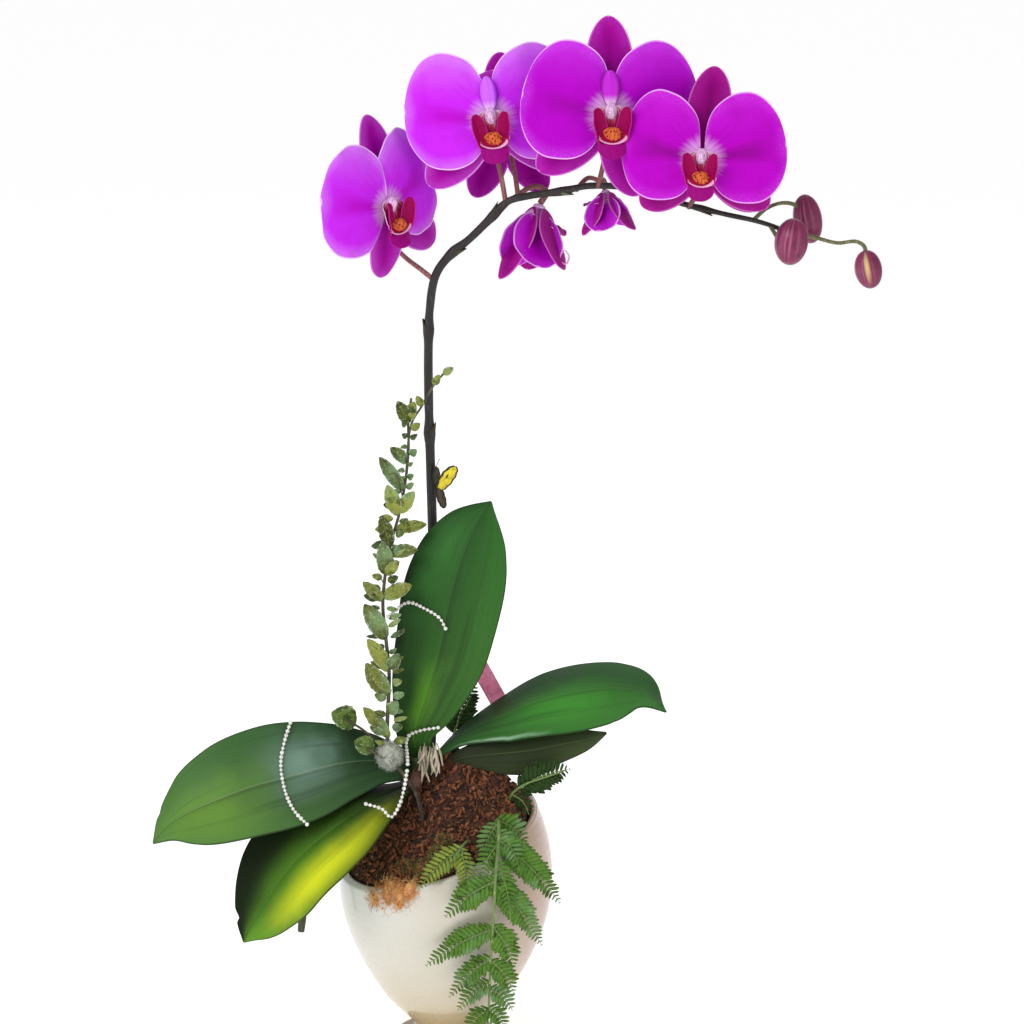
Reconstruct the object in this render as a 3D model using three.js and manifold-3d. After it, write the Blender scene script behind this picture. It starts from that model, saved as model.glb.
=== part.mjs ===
// A moth orchid planted in an egg-shaped glazed pot, dressed with fern, a frosted
// foliage pick, strands of white beads, a small butterfly pick and a slip-on label.
// Millimetres, +Z up, origin at the middle of the pot's flat base, front towards -Y.

import * as THREE from 'three';
import { mergeVertices } from 'three/addons/utils/BufferGeometryUtils.js';
import Module from 'manifold-3d';

const wasm = await Module();
wasm.setup();

// Clearance left between pieces that touch on the real plant
const GAP = 0.35;

// Pot: outer profile as [radius, height], foot first, and the oblique mouth plane
const POT_OUTER = [
  [0, 0], [34, 0], [35.5, 2], [34, 4.5], [22.5, 8], [21, 12], [27.6, 19.8], [41.2, 34.3],
  [50.8, 48.7], [60, 66.5], [68.2, 88], [72, 112], [69.9, 141], [60.5, 169], [52, 182],
];
const POT_INNER = [
  [0, 24], [16, 25], [28, 30], [38, 39], [50, 58], [60, 80], [66.4, 104], [66, 130], [61.3, 155], [47, 182],
];
const POT_SEGMENTS = 24;
const MOUTH = { height: 148.5, slopeX: 0.318, slopeY: 0.17 };

// Coir mound that fills the mouth and carries the plant
const MOUND_PEAK = { x: 2, y: 2, z: 199 };
const MOUND_DEPTH = 12;
const MOUND_SEGMENTS = 22;
const MOUND_RINGS = 5;
const MOUND_RELIEF = 2.6;

// Short stem that the leaves and the flower spike grow from
const CROWN_X = -13;
const CROWN_PROFILE = [[0, 150], [7, 152], [9, 166], [11, 186], [10, 200], [5.5, 208], [0, 210]];
const CROWN_SEGMENTS = 10;

// Flower spike radii along its length, low to high
const SPIKE_RADII = [3.5, 3.4, 3.3, 3.2, 3.1, 2.9, 2.7, 2.4, 2.1, 1.8, 1.4];
const PEDICEL_RADII = [1.6, 1.6, 2];

// Flower sizes at scale 1
const PETAL = { length: 52, halfWidth: 37, root: 1.5, thick: 1, spokes: 12, rings: 2 };
const SEPAL = { length: 58, halfWidth: 14, root: 1, thick: 1, spokes: 8, rings: 1 };
const COLUMN = { y: -4, z: 1.5, radii: [3.4, 5.4, 5] };

// Beads strung on wire
const BEAD_RADIUS = 1.7;
const BEAD_WIRE = 0.5;
const BEAD_PITCH = 5.6;

const COLOURS = {
  glaze: 0xd7d9ce, mix: 0x3f2d20, coir: 0x563a24, tuft: 0xb9783a, stem: 0x3b3433,
  leaf: 0x3d6b33, petal: 0xc424e6, sepal: 0xb502b7, lip: 0x9e1864, bud: 0x6a2145,
  fern: 0x4f7d3c, frost: 0x98a582, bead: 0xeeeeea, butterfly: 0xdbcb3b, label: 0xd4859b,
};

// Seeded random numbers, so every build gives the same plant
function seededRandom(seed) {
  let state = seed;
  return () => {
    state = (state * 1664525 + 1013904223) % 4294967296;
    return state / 4294967296;
  };
}

const vec = (point) => new THREE.Vector3(...point);

// Closed solid from points and triangles, turned so that its faces point out
function closedSolid(points, triangles) {
  let volume = 0;
  for (const [a, b, c] of triangles) {
    volume += points[a].dot(new THREE.Vector3().crossVectors(points[b], points[c]));
  }
  const faces = volume < 0 ? triangles.map(([a, b, c]) => [a, c, b]) : triangles;
  return new wasm.Manifold(new wasm.Mesh({
    numProp: 3,
    vertProperties: Float32Array.from(points.flatMap((p) => [p.x, p.y, p.z])),
    triVerts: Uint32Array.from(faces.flat()),
  }));
}

// Closed solid from a three.js geometry, with its shared vertices merged
function solidOf(geometry) {
  const bare = new THREE.BufferGeometry();
  bare.setAttribute('position', geometry.getAttribute('position'));
  bare.setIndex(geometry.index);
  const merged = mergeVertices(bare, 1e-4);
  const position = merged.getAttribute('position');
  const points = [];
  for (let i = 0; i < position.count; i += 1) {
    points.push(new THREE.Vector3().fromBufferAttribute(position, i));
  }
  const triangles = [];
  for (let i = 0; i < merged.index.count; i += 3) {
    const face = [merged.index.getX(i), merged.index.getX(i + 1), merged.index.getX(i + 2)];
    if (new Set(face).size === 3) triangles.push(face);
  }
  return closedSolid(points, triangles);
}

// One body out of several that run into each other; loose scraps are dropped
function fuse(solids) {
  const pieces = wasm.Manifold.union(solids).decompose();
  pieces.sort((a, b) => b.volume() - a.volume());
  return pieces[0];
}

const group = new THREE.Group();

function addNode(name, solid, colour, roughness = 0.6) {
  const largest = fuse([solid]);
  const { vertProperties, triVerts } = largest.getMesh();
  const geometry = new THREE.BufferGeometry();
  geometry.setAttribute('position', new THREE.BufferAttribute(vertProperties, 3));
  geometry.setIndex(new THREE.BufferAttribute(triVerts, 1));
  geometry.computeVertexNormals();
  const material = new THREE.MeshStandardMaterial({ color: colour, roughness, metalness: 0 });
  const mesh = new THREE.Mesh(geometry, material);
  mesh.name = name;
  group.add(mesh);
}

// Solid of revolution about a vertical line, its profile given as [radius, height]
function lathe(profile, segments, x = 0, y = 0) {
  const outline = profile.map(([radius, height]) => new THREE.Vector2(radius, height));
  const geometry = new THREE.LatheGeometry(outline, segments);
  geometry.rotateX(Math.PI / 2);
  geometry.translate(x, y, 0);
  return solidOf(geometry);
}

function ellipsoid(centre, radii, widthSegments = 8, heightSegments = 6) {
  const geometry = new THREE.SphereGeometry(1, widthSegments, heightSegments);
  geometry.scale(...radii);
  geometry.translate(...centre);
  return solidOf(geometry);
}

// Round bar along a curve through the given points, its radius following the given stations
function taperedTube(points, radii, sides, steps) {
  const curve = new THREE.CatmullRomCurve3(points.map(vec), false, 'centripetal');
  const section = new THREE.Shape();
  for (let i = 0; i < sides; i += 1) {
    const angle = (2 * Math.PI * i) / sides;
    const corner = [Math.cos(angle), Math.sin(angle)];
    if (i === 0) section.moveTo(...corner);
    else section.lineTo(...corner);
  }
  section.closePath();
  const geometry = new THREE.ExtrudeGeometry(section, {
    steps, extrudePath: curve, bevelEnabled: false, curveSegments: 1,
  });
  const spine = curve.getSpacedPoints(steps);
  const position = geometry.getAttribute('position');
  const point = new THREE.Vector3();
  for (let i = 0; i < position.count; i += 1) {
    point.fromBufferAttribute(position, i);
    let nearest = 0;
    for (let s = 1; s <= steps; s += 1) {
      if (point.distanceToSquared(spine[s]) < point.distanceToSquared(spine[nearest])) nearest = s;
    }
    point.sub(spine[nearest]).multiplyScalar(atStation(radii, nearest / steps)).add(spine[nearest]);
    position.setXYZ(i, point.x, point.y, point.z);
  }
  return solidOf(geometry);
}

// Value at a fraction along evenly spaced stations
function atStation(stations, fraction) {
  if (stations.length === 1) return stations[0];
  const place = fraction * (stations.length - 1);
  const low = Math.min(Math.floor(place), stations.length - 2);
  return THREE.MathUtils.lerp(stations[low], stations[low + 1], place - low);
}

// Leaf surface along a midrib: u runs from base to tip and v from the back edge (-1) to the
// front edge (+1); raised lifts the point off the surface on the leaf's upper side
function leafPoint(leaf, u, v, raised = 0) {
  const spine = leaf.midribCurve;
  const centre = spine.getPointAt(u);
  const along = spine.getTangentAt(u);
  const place = u * (leaf.sides.length - 1);
  const low = Math.min(Math.floor(place), leaf.sides.length - 2);
  const side = vec(leaf.sides[low]).lerp(vec(leaf.sides[low + 1]), place - low);
  side.addScaledVector(along, -side.dot(along)).normalize();
  const up = new THREE.Vector3().crossVectors(along, side);
  const halfWidth = leaf.widthCurve.getPointAt(u).y;
  const wave = leaf.wave * Math.sin(u * leaf.waves * Math.PI) * v * Math.abs(v);
  const height = leaf.fold * halfWidth * Math.abs(v) ** 1.4 + wave + raised;
  return centre.addScaledVector(side, v * halfWidth).addScaledVector(up, height);
}

function prepareLeaf(leaf) {
  const last = leaf.widths.length - 1;
  const stations = leaf.widths.map((width, i) => new THREE.Vector3(i / last, width, 0));
  const widthCurve = {
    getPointAt: (u) => {
      const place = u * (stations.length - 1);
      const low = Math.min(Math.floor(place), stations.length - 2);
      const blend = THREE.MathUtils.smoothstep(place - low, 0, 1) * 0.35 + (place - low) * 0.65;
      return stations[low].clone().lerp(stations[low + 1], blend);
    },
  };
  const midribCurve = new THREE.CatmullRomCurve3(leaf.midrib.map(vec), false, 'centripetal');
  return { ...leaf, widthCurve, midribCurve };
}

// Leaf blade: two alike surfaces joined round the rim, thickest at the midrib
function leafSolid(leaf, rows = 10, columns = 4) {
  const points = [];
  const triangles = [];
  for (const face of [1, -1]) {
    for (let i = 0; i <= rows; i += 1) {
      for (let j = 0; j <= columns; j += 1) {
        const v = (2 * j) / columns - 1;
        const halfThick = leaf.thick * (0.5 - 0.22 * Math.abs(v));
        points.push(leafPoint(leaf, i / rows, v, face * halfThick));
      }
    }
  }
  const at = (face, i, j) => face * (rows + 1) * (columns + 1) + i * (columns + 1) + j;
  const quad = (a, b, c, d) => triangles.push([a, b, c], [a, c, d]);
  for (let i = 0; i < rows; i += 1) {
    for (let j = 0; j < columns; j += 1) {
      quad(at(0, i, j), at(0, i + 1, j), at(0, i + 1, j + 1), at(0, i, j + 1));
      triangles.push([at(1, i, j), at(1, i + 1, j + 1), at(1, i + 1, j)]);
      triangles.push([at(1, i, j), at(1, i, j + 1), at(1, i + 1, j + 1)]);
    }
    quad(at(0, i, 0), at(1, i, 0), at(1, i + 1, 0), at(0, i + 1, 0));
    quad(at(0, i + 1, columns), at(1, i + 1, columns), at(1, i, columns), at(0, i, columns));
  }
  for (let j = 0; j < columns; j += 1) {
    quad(at(0, 0, j + 1), at(1, 0, j + 1), at(1, 0, j), at(0, 0, j));
    quad(at(0, rows, j), at(1, rows, j), at(1, rows, j + 1), at(0, rows, j + 1));
  }
  return closedSolid(points, triangles);
}

// Oval blade in its own frame: it grows along +X from its root, its face looks along +Z.
// outline gives the half width factor, height the lift of the face over the flat blade.
function ovalBlade({ length, halfWidth, root, thick, spokes, rings = 2, height, point = 1 }) {
  const points = [];
  const middle = root + length / 2;
  const place = (ring, spoke) => {
    const angle = Math.PI + (2 * Math.PI * spoke) / spokes;
    const reach = ring / rings;
    const taper = Math.cos(angle) > 0 ? point : 1;
    const a = middle + (length / 2) * Math.cos(angle) * reach;
    const b = halfWidth * Math.sign(Math.sin(angle)) * Math.abs(Math.sin(angle)) ** taper * reach;
    return [a, b];
  };
  const flat = [[middle, 0]];
  for (let ring = 1; ring <= rings; ring += 1) {
    for (let spoke = 0; spoke < spokes; spoke += 1) flat.push(place(ring, spoke));
  }
  for (const face of [0.5, -0.5]) {
    for (const [a, b] of flat) points.push(new THREE.Vector3(a, b, height(a, b) + face * thick));
  }
  const triangles = [];
  const at = (face, ring, spoke) => {
    const start = face * flat.length;
    return ring === 0 ? start : start + 1 + (ring - 1) * spokes + (spoke % spokes);
  };
  for (let spoke = 0; spoke < spokes; spoke += 1) {
    triangles.push([at(0, 0, 0), at(0, 1, spoke), at(0, 1, spoke + 1)]);
    triangles.push([at(1, 0, 0), at(1, 1, spoke + 1), at(1, 1, spoke)]);
    for (let ring = 1; ring < rings; ring += 1) {
      triangles.push([at(0, ring, spoke), at(0, ring + 1, spoke), at(0, ring + 1, spoke + 1)]);
      triangles.push([at(0, ring, spoke), at(0, ring + 1, spoke + 1), at(0, ring, spoke + 1)]);
      triangles.push([at(1, ring, spoke), at(1, ring + 1, spoke + 1), at(1, ring + 1, spoke)]);
      triangles.push([at(1, ring, spoke), at(1, ring, spoke + 1), at(1, ring + 1, spoke + 1)]);
    }
    triangles.push([at(0, rings, spoke), at(1, rings, spoke), at(1, rings, spoke + 1)]);
    triangles.push([at(0, rings, spoke), at(1, rings, spoke + 1), at(0, rings, spoke + 1)]);
  }
  return { points, triangles };
}

function placed({ points, triangles }, matrix) {
  return closedSolid(points.map((p) => p.clone().applyMatrix4(matrix)), triangles);
}

// Frame of a blade that grows from a point in a direction, with its face towards facing
function bladeFrame(origin, direction, facing) {
  const along = vec(direction).normalize();
  const face = vec(facing);
  face.addScaledVector(along, -face.dot(along)).normalize();
  const across = new THREE.Vector3().crossVectors(face, along);
  return new THREE.Matrix4().makeBasis(along, across, face).setPosition(vec(origin));
}

// Pot, potting mix and coir mound

function mouthHeight(x, y) {
  return MOUTH.height + MOUTH.slopeX * x + MOUTH.slopeY * y;
}

// Big block whose lower face is the mouth plane, moved down by drop
function aboveMouth(drop) {
  const size = 400;
  const geometry = new THREE.BoxGeometry(size, size, size);
  geometry.translate(0, 0, size / 2);
  const normal = new THREE.Vector3(-MOUTH.slopeX, -MOUTH.slopeY, 1).normalize();
  geometry.applyQuaternion(new THREE.Quaternion().setFromUnitVectors(new THREE.Vector3(0, 0, 1), normal));
  geometry.translate(0, 0, MOUTH.height - drop);
  return solidOf(geometry);
}

// Radius of a [radius, height] profile at a height
function radiusAt(profile, height) {
  for (let i = 1; i < profile.length; i += 1) {
    const [lowRadius, low] = profile[i - 1];
    const [highRadius, high] = profile[i];
    if (height >= low && height <= high) {
      return THREE.MathUtils.mapLinear(height, low, high, lowRadius, highRadius);
    }
  }
  return profile[profile.length - 1][0];
}

function potSolid() {
  const wall = [...POT_OUTER, ...POT_INNER.slice().reverse()];
  return lathe(wall, POT_SEGMENTS).subtract(aboveMouth(0));
}

function pottingMixSolid() {
  const inside = POT_INNER.map(([radius, height]) => [Math.max(radius - 2 * GAP, 0), height + GAP]);
  const lid = [0, inside[inside.length - 1][1]];
  return lathe([...inside, lid], POT_SEGMENTS).subtract(aboveMouth(MOUND_DEPTH + GAP));
}

// Distance from the pot's axis to the mound's edge in a direction
function moundEdge(angle) {
  let radius = 60;
  for (let pass = 0; pass < 8; pass += 1) {
    const z = mouthHeight(radius * Math.cos(angle), radius * Math.sin(angle));
    radius = radiusAt(POT_INNER, z) - 2.5 * GAP;
  }
  return radius;
}

function moundRelief(x, y) {
  const lumps = Math.sin(x * 0.31 + 1.1) * Math.cos(y * 0.27);
  return MOUND_RELIEF * (lumps + 0.6 * Math.sin(x * 0.17 - y * 0.38));
}

function moundSolid(holes) {
  const random = seededRandom(11);
  const points = [new THREE.Vector3(MOUND_PEAK.x, MOUND_PEAK.y, MOUND_PEAK.z)];
  const floor = [];
  for (let ring = 1; ring <= MOUND_RINGS; ring += 1) {
    const reach = ring / MOUND_RINGS;
    for (let i = 0; i < MOUND_SEGMENTS; i += 1) {
      const angle = (2 * Math.PI * i) / MOUND_SEGMENTS;
      const edge = moundEdge(angle);
      const x = THREE.MathUtils.lerp(MOUND_PEAK.x, edge * Math.cos(angle), reach);
      const y = THREE.MathUtils.lerp(MOUND_PEAK.y, edge * Math.sin(angle), reach);
      const rim = mouthHeight(x, y) + 1;
      const swell = 1 - reach ** 1.5;
      const lumps = moundRelief(x, y) + MOUND_RELIEF * (random() - 0.5);
      const height = rim + (MOUND_PEAK.z - mouthHeight(MOUND_PEAK.x, MOUND_PEAK.y)) * swell;
      points.push(new THREE.Vector3(x, y, height + lumps * (1 - reach ** 6)));
      if (ring === MOUND_RINGS) floor.push(new THREE.Vector3(x, y, rim - 1 - MOUND_DEPTH));
    }
  }
  points.push(...floor, new THREE.Vector3(0, 0, mouthHeight(0, 0) - MOUND_DEPTH));
  const triangles = [];
  const at = (ring, i) => (ring === 0 ? 0 : 1 + (ring - 1) * MOUND_SEGMENTS + (i % MOUND_SEGMENTS));
  const last = points.length - 1;
  for (let i = 0; i < MOUND_SEGMENTS; i += 1) {
    triangles.push([0, at(1, i), at(1, i + 1)]);
    for (let ring = 1; ring <= MOUND_RINGS; ring += 1) {
      triangles.push([at(ring, i), at(ring + 1, i), at(ring + 1, i + 1)]);
      triangles.push([at(ring, i), at(ring + 1, i + 1), at(ring, i + 1)]);
    }
    triangles.push([at(MOUND_RINGS + 1, i), last, at(MOUND_RINGS + 1, i + 1)]);
  }
  return closedSolid(points, triangles).subtract(wasm.Manifold.union(holes));
}

// Crown, leaves and aerial roots

const crownCore = lathe(CROWN_PROFILE, CROWN_SEGMENTS, CROWN_X, 0);
const crownRoom = lathe(
  CROWN_PROFILE.map(([radius, z], i) => [radius ? radius + GAP : 0, z + (i < 2 ? -GAP : GAP)]),
  CROWN_SEGMENTS, CROWN_X, 0,
);

const HANGING_ROOT = [
  [-15, -4, 180], [-34, -8, 181], [-55, -12, 172], [-76, -16, 150], [-89, -20, 120], [-95, -21, 100], [-97, -21, 84],
];
const TUFT = { from: 231, to: 252, clumps: 4, drop: 9 };
const CUT_STUB = [[-14, -4, 190], [-17, -14, 193], [-19, -22, 191], [-20, -27, 186]];

const LEAVES = {
  leaf_left_upper: {
    midrib: [
      [-20, -1, 194], [-33, -12, 199], [-50, -20, 203], [-69, -30, 204], [-101, -42, 199],
      [-127, -47, 193], [-147, -50, 186], [-167, -50, 177], [-180, -48, 168], [-192, -45, 154],
    ],
    sides: [[0.1, -0.5, -0.7], [0.1, -0.6, -0.75], [0.12, -0.62, -0.78], [0.2, -0.62, -0.75], [0.4, -0.6, -0.65]],
    widths: [7, 12, 20, 28, 34, 37, 37, 35, 30, 22, 0.8],
    fold: 0.16, thick: 2.2, wave: 1.2, waves: 3,
  },
  leaf_left_lower: {
    midrib: [
      [-18, -6, 184], [-33, -28, 184], [-49, -46, 181], [-71, -58, 169], [-92, -61, 152],
      [-108, -59, 132], [-121, -55, 110], [-129, -52, 96], [-133, -50, 87],
    ],
    sides: [[0.5, -0.5, -0.1], [0.5, -0.62, -0.3], [0.62, -0.62, -0.42], [0.7, -0.58, -0.4], [0.75, -0.5, -0.3]],
    widths: [6, 9, 15, 25, 33, 36, 36, 34, 27, 17, 0.8],
    fold: 0.14, thick: 2, wave: 1.5, waves: 4,
  },
  leaf_centre: {
    midrib: [
      [-16, -8, 203], [-20, -15, 218], [-13, -19, 245], [-3, -22, 280], [4, -20, 313],
      [12, -15, 340], [20, -9, 358], [26, -4, 368], [31, 0, 375],
    ],
    sides: [[1, -0.1, 0], [1, -0.2, -0.15], [1, -0.25, -0.2], [1, -0.2, -0.25], [1, -0.1, -0.3]],
    widths: [8, 13, 21, 27, 31, 33, 34, 33, 29, 20, 0.8],
    fold: 0.18, thick: 2.2, wave: 0.8, waves: 3,
  },
  leaf_right_upper: {
    midrib: [
      [-5, 3, 201], [6, 6, 210], [22, 10, 218], [40, 13, 225], [64, 16, 234],
      [91, 17, 240], [117, 14, 243], [134, 8, 241], [148, 0, 231],
    ],
    sides: [[0.1, -0.9, 0], [0.1, -0.85, -0.2], [0.1, -0.85, -0.4], [0.15, -0.8, -0.45], [0.3, -0.8, -0.4]],
    widths: [7, 12, 20, 27, 31, 33, 33, 30, 25, 16, 0.8],
    fold: 0.14, thick: 2.2, wave: 0.8, waves: 3,
  },
  leaf_right_lower: {
    midrib: [
      [-4, -3, 194], [14, -5, 201], [34, -4, 203], [56, -3, 205], [76, -3, 209], [94, -4, 213], [108, -5, 218],
    ],
    sides: [[0, -0.5, -0.8], [0.1, -0.35, -0.95], [0.1, -0.3, -0.95], [0.15, -0.3, -0.95], [0.3, -0.3, -0.9]],
    widths: [4, 6, 10, 14, 15.5, 14, 11, 7, 0.8],
    fold: 0.12, thick: 1.9, wave: 0.6, waves: 3,
  },
};

// Flower spike with its pedicels, and the flowers and buds at their ends

const SPIKE_PATH = [
  [-11, 3, 184], [-10, 12, 204], [-9, 15, 236], [-9, 13, 278], [-8, 12, 343], [-9, 11, 394],
  [-10, 10, 441], [-10, 9, 475], [-9, 8, 501], [-5, 7, 524], [3, 6, 536], [18, 4, 549],
  [31, 2, 562], [42, 0, 573], [56, -2, 577], [76, -5, 580], [95, -8, 584], [127, -12, 582],
  [152, -16, 574], [181, -19, 567], [200, -20, 563], [213, -20, 559], [224, -18, 554],
];
const SPIKE_TIP = [
  [222, -18, 555], [233, -15, 553], [241, -14, 551], [254, -15, 548],
  [266, -16, 549], [271, -17.5, 546], [272, -18.5, 540],
];
const BUD_TWIGS = [
  [[199, -20, 563], [208, -14, 570], [218, -9, 573], [226, -7, 572], [232, -4, 567]],
  [[210, -20, 560], [215, -24, 551], [218, -29, 542], [221, -32, 538]],
];

const FRONT_SEPALS = [
  { angle: 90, reflex: 16, length: 1 },
  { angle: 218, reflex: 12, length: 0.88 },
  { angle: 318, reflex: 12, length: 0.88 },
];
const BLOOMS = {
  a: { centre: [-36, -1, 569], yaw: 44, pitch: 0, roll: -8, scale: 1.02,
    pedicel: [[-6, 7, 521], [-14, 11, 527], [-25, 21, 534], [-36, 24, 545], [-43, 20, 557]],
    petals: [{ angle: 20, reflex: 12 }, { angle: 165, reflex: 1 }],
    sepals: [{ angle: 80, reflex: 15, length: 1 }, { angle: 270, reflex: 9, length: 0.76 },
      { angle: 326, reflex: 7, length: 0.97 }] },
  b: { centre: [32, -8, 627], yaw: -3, pitch: 8, roll: -7, scale: 1.07, reflex: 6,
    pedicel: [[41, 0, 571], [38, 2, 588], [34, 3, 608]],
    sepals: [{ angle: 84, reflex: 42, length: 0.55 }, { angle: 221, reflex: 5, length: 0.97 },
      { angle: 320, reflex: 9, length: 0.95 }] },
  c: { centre: [107, -34, 632], yaw: 3, pitch: 6, roll: -2, scale: 1.07, reflex: 4,
    pedicel: [[100, -9, 583], [104, -15, 602], [107, -22, 618]],
    petals: [{ angle: 8, reflex: 4 }, { angle: 166, reflex: 4 }],
    sepals: [{ angle: 89, reflex: 10, length: 0.94 }, { angle: 219, reflex: 9, length: 0.92 },
      { angle: 287, reflex: 4, length: 0.88 }] },
  d: { centre: [164, -56, 606], yaw: -10, pitch: 8, roll: 1, scale: 0.99, reflex: 8,
    pedicel: [[158, -16, 571], [163, -28, 582], [166, -42, 594]],
    sepals: [{ angle: 86, reflex: 27, length: 1 }, { angle: 222, reflex: 12, length: 0.92 },
      { angle: 321, reflex: 10, length: 0.88 }] },
  e: { centre: [40, 53, 616], yaw: 180, pitch: 8, roll: 4, scale: 0.88, reflex: 8,
    pedicel: [[49, -1, 574], [47, 9, 588], [43, 22, 606]],
    sepals: [{ angle: 90, reflex: 14, length: 0.95 }, { angle: 242, reflex: 10, length: 0.95 },
      { angle: 298, reflex: 10, length: 0.95 }] },
  f: { centre: [62, 27, 565], yaw: -60, pitch: 74, roll: 0, scale: 0.96, nodding: true,
    sepals: [{ angle: 90, reflex: -80, length: 0.95 }, { angle: 215, reflex: -70, length: 0.8 },
      { angle: 330, reflex: -60, length: 0.78 }],
    petals: [{ angle: 10, reflex: -64, length: 0.8 }, { angle: 168, reflex: -76, length: 0.8 }],
    pedicel: [[24, 3, 554], [33, 13, 561], [46, 23, 573], [60, 28, 580]] },
  g: { centre: [106, 12, 577], yaw: 60, pitch: 88, roll: 0, scale: 0.66, nodding: true,
    sepals: [{ angle: 90, reflex: -58, length: 0.78 }, { angle: 215, reflex: -66, length: 0.8 },
      { angle: 330, reflex: -60, length: 0.74 }],
    petals: [{ angle: 10, reflex: -58, length: 0.75 }, { angle: 168, reflex: -60, length: 0.75 }],
    pedicel: [[86, -6, 581], [94, 2, 588], [103, 9, 585]] },
  h: { centre: [170, 14, 600], yaw: 176, pitch: 6, roll: -4, scale: 0.92, reflex: 8,
    pedicel: [[140, -14, 579], [150, -6, 586], [162, 2, 594]],
    sepals: FRONT_SEPALS },
};

const BUDS = {
  bud_1: { centre: [223, -33, 551], radii: [11, 11, 15], tilt: [0.12, 0, 0.99] },
  bud_2: { centre: [236, -2, 562], radii: [9.5, 9.5, 16], tilt: [-0.2, 0, 0.98] },
  bud_3: { centre: [274, -19, 531.5], radii: [9, 9, 12.5], tilt: [-0.2, 0, 0.98] },
};

const turn = THREE.MathUtils.degToRad;

function bloomMatrix({ centre, yaw, pitch, roll, scale }) {
  return new THREE.Matrix4()
    .makeTranslation(...centre)
    .multiply(new THREE.Matrix4().makeRotationZ(turn(yaw)))
    .multiply(new THREE.Matrix4().makeRotationX(turn(pitch)))
    .multiply(new THREE.Matrix4().makeRotationY(turn(roll)))
    .multiply(new THREE.Matrix4().makeScale(scale, scale, scale));
}

// Frame of a tepal in the flower: angle is measured in the flower's face from its right-hand
// side towards the top, and reflex swings the tepal back from that face
function tepalFrame({ angle, reflex }, root) {
  const [c, s] = [Math.cos(turn(angle)), Math.sin(turn(angle))];
  const [cr, sr] = [Math.cos(turn(reflex)), Math.sin(turn(reflex))];
  return bladeFrame(root, [c * cr, sr, s * cr], [c * sr, -cr, s * sr]);
}

function petalHeight(length, halfWidth) {
  return (a, b) => 3.2 * Math.sin((a / length) * Math.PI) - 2.4 * (b / halfWidth) ** 2 - 1.4 * (a / length);
}

function sepalHeight(length, halfWidth) {
  return (a, b) => 1.5 * (b / halfWidth) ** 2 - 3 * (a / length) ** 2;
}

function bloomSolid(bloom) {
  const solids = [
    ellipsoid([0, COLUMN.y, COLUMN.z], COLUMN.radii, 6, 4),
    ellipsoid([0, 1.6, -0.5], [4.4, 2.5, 4.4], 6, 4),
  ];
  const spreadPetals = [{ angle: 9, reflex: bloom.reflex }, { angle: 171, reflex: bloom.reflex }];
  const petals = bloom.petals ?? spreadPetals;
  const spread = bloom.nodding ? 4 : 2;
  const folded = { spokes: 6, rings: 1 };
  for (const petal of petals) {
    const length = PETAL.length * (petal.length ?? 1);
    const halfWidth = PETAL.halfWidth * (bloom.nodding ? 0.5 : 1);
    const shape = bloom.nodding ? { ...PETAL, ...folded } : PETAL;
    const blade = ovalBlade({ ...shape, length, halfWidth, point: 0.92, height: petalHeight(length, halfWidth) });
    const side = Math.sign(Math.cos(turn(petal.angle)));
    solids.push(placed(blade, tepalFrame(petal, [bloom.nodding ? 3 * side : 0, -0.6, 0])));
  }
  for (const sepal of bloom.sepals) {
    const length = SEPAL.length * sepal.length;
    const shape = bloom.nodding ? { ...SEPAL, ...folded } : SEPAL;
    const blade = ovalBlade({ ...shape, length, point: 1.1, height: sepalHeight(length, SEPAL.halfWidth) });
    const root = [spread * Math.cos(turn(sepal.angle)), 2.2, spread * Math.sin(turn(sepal.angle)) - 0.5];
    solids.push(placed(blade, tepalFrame(sepal, root)));
  }
  if (bloom.nodding) solids.push(ellipsoid([0, -6, -4.5], [2.6, 3.5, 3.5], 6, 4), ...lipLobes([]));
  return fuse(solids).transform(bloomMatrix(bloom).elements);
}

// Lip: two side lobes that rise round the column, a pointed middle lobe and a raised callus
function lipLobes(sideLobes) {
  const lobe = (length, halfWidth, cup) => ovalBlade({
    length, halfWidth, root: 0, thick: 1, spokes: 6, rings: 1,
    height: (a, b) => cup * (b / halfWidth) ** 2,
  });
  const solids = [
    ellipsoid([0, -7.5, -6.9], [3.6, 4, 4], 6, 4),
    placed(lobe(14.5, 6, -1.5), bladeFrame([0, -7, -7.1], [0, -0.42, -0.9], [0, -0.9, 0.42])),
  ];
  for (const hand of sideLobes) {
    const frame = bladeFrame([hand * 0.5, -7, -7.6], [hand * 0.78, -0.5, 0.28], [-hand * 0.5, -0.8, 0.3]);
    solids.push(placed(lobe(13, 6, 1.5), frame));
  }
  return solids;
}

function lipSolid(bloom) {
  return fuse(lipLobes([-1, 1])).transform(bloomMatrix(bloom).elements);
}

function budSolid({ centre, radii, tilt }) {
  const geometry = new THREE.SphereGeometry(1, 8, 6);
  geometry.rotateX(Math.PI / 2);
  geometry.scale(...radii);
  const axis = vec(tilt).normalize();
  geometry.applyQuaternion(new THREE.Quaternion().setFromUnitVectors(new THREE.Vector3(0, 0, 1), axis));
  geometry.translate(...centre);
  return solidOf(geometry);
}

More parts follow.
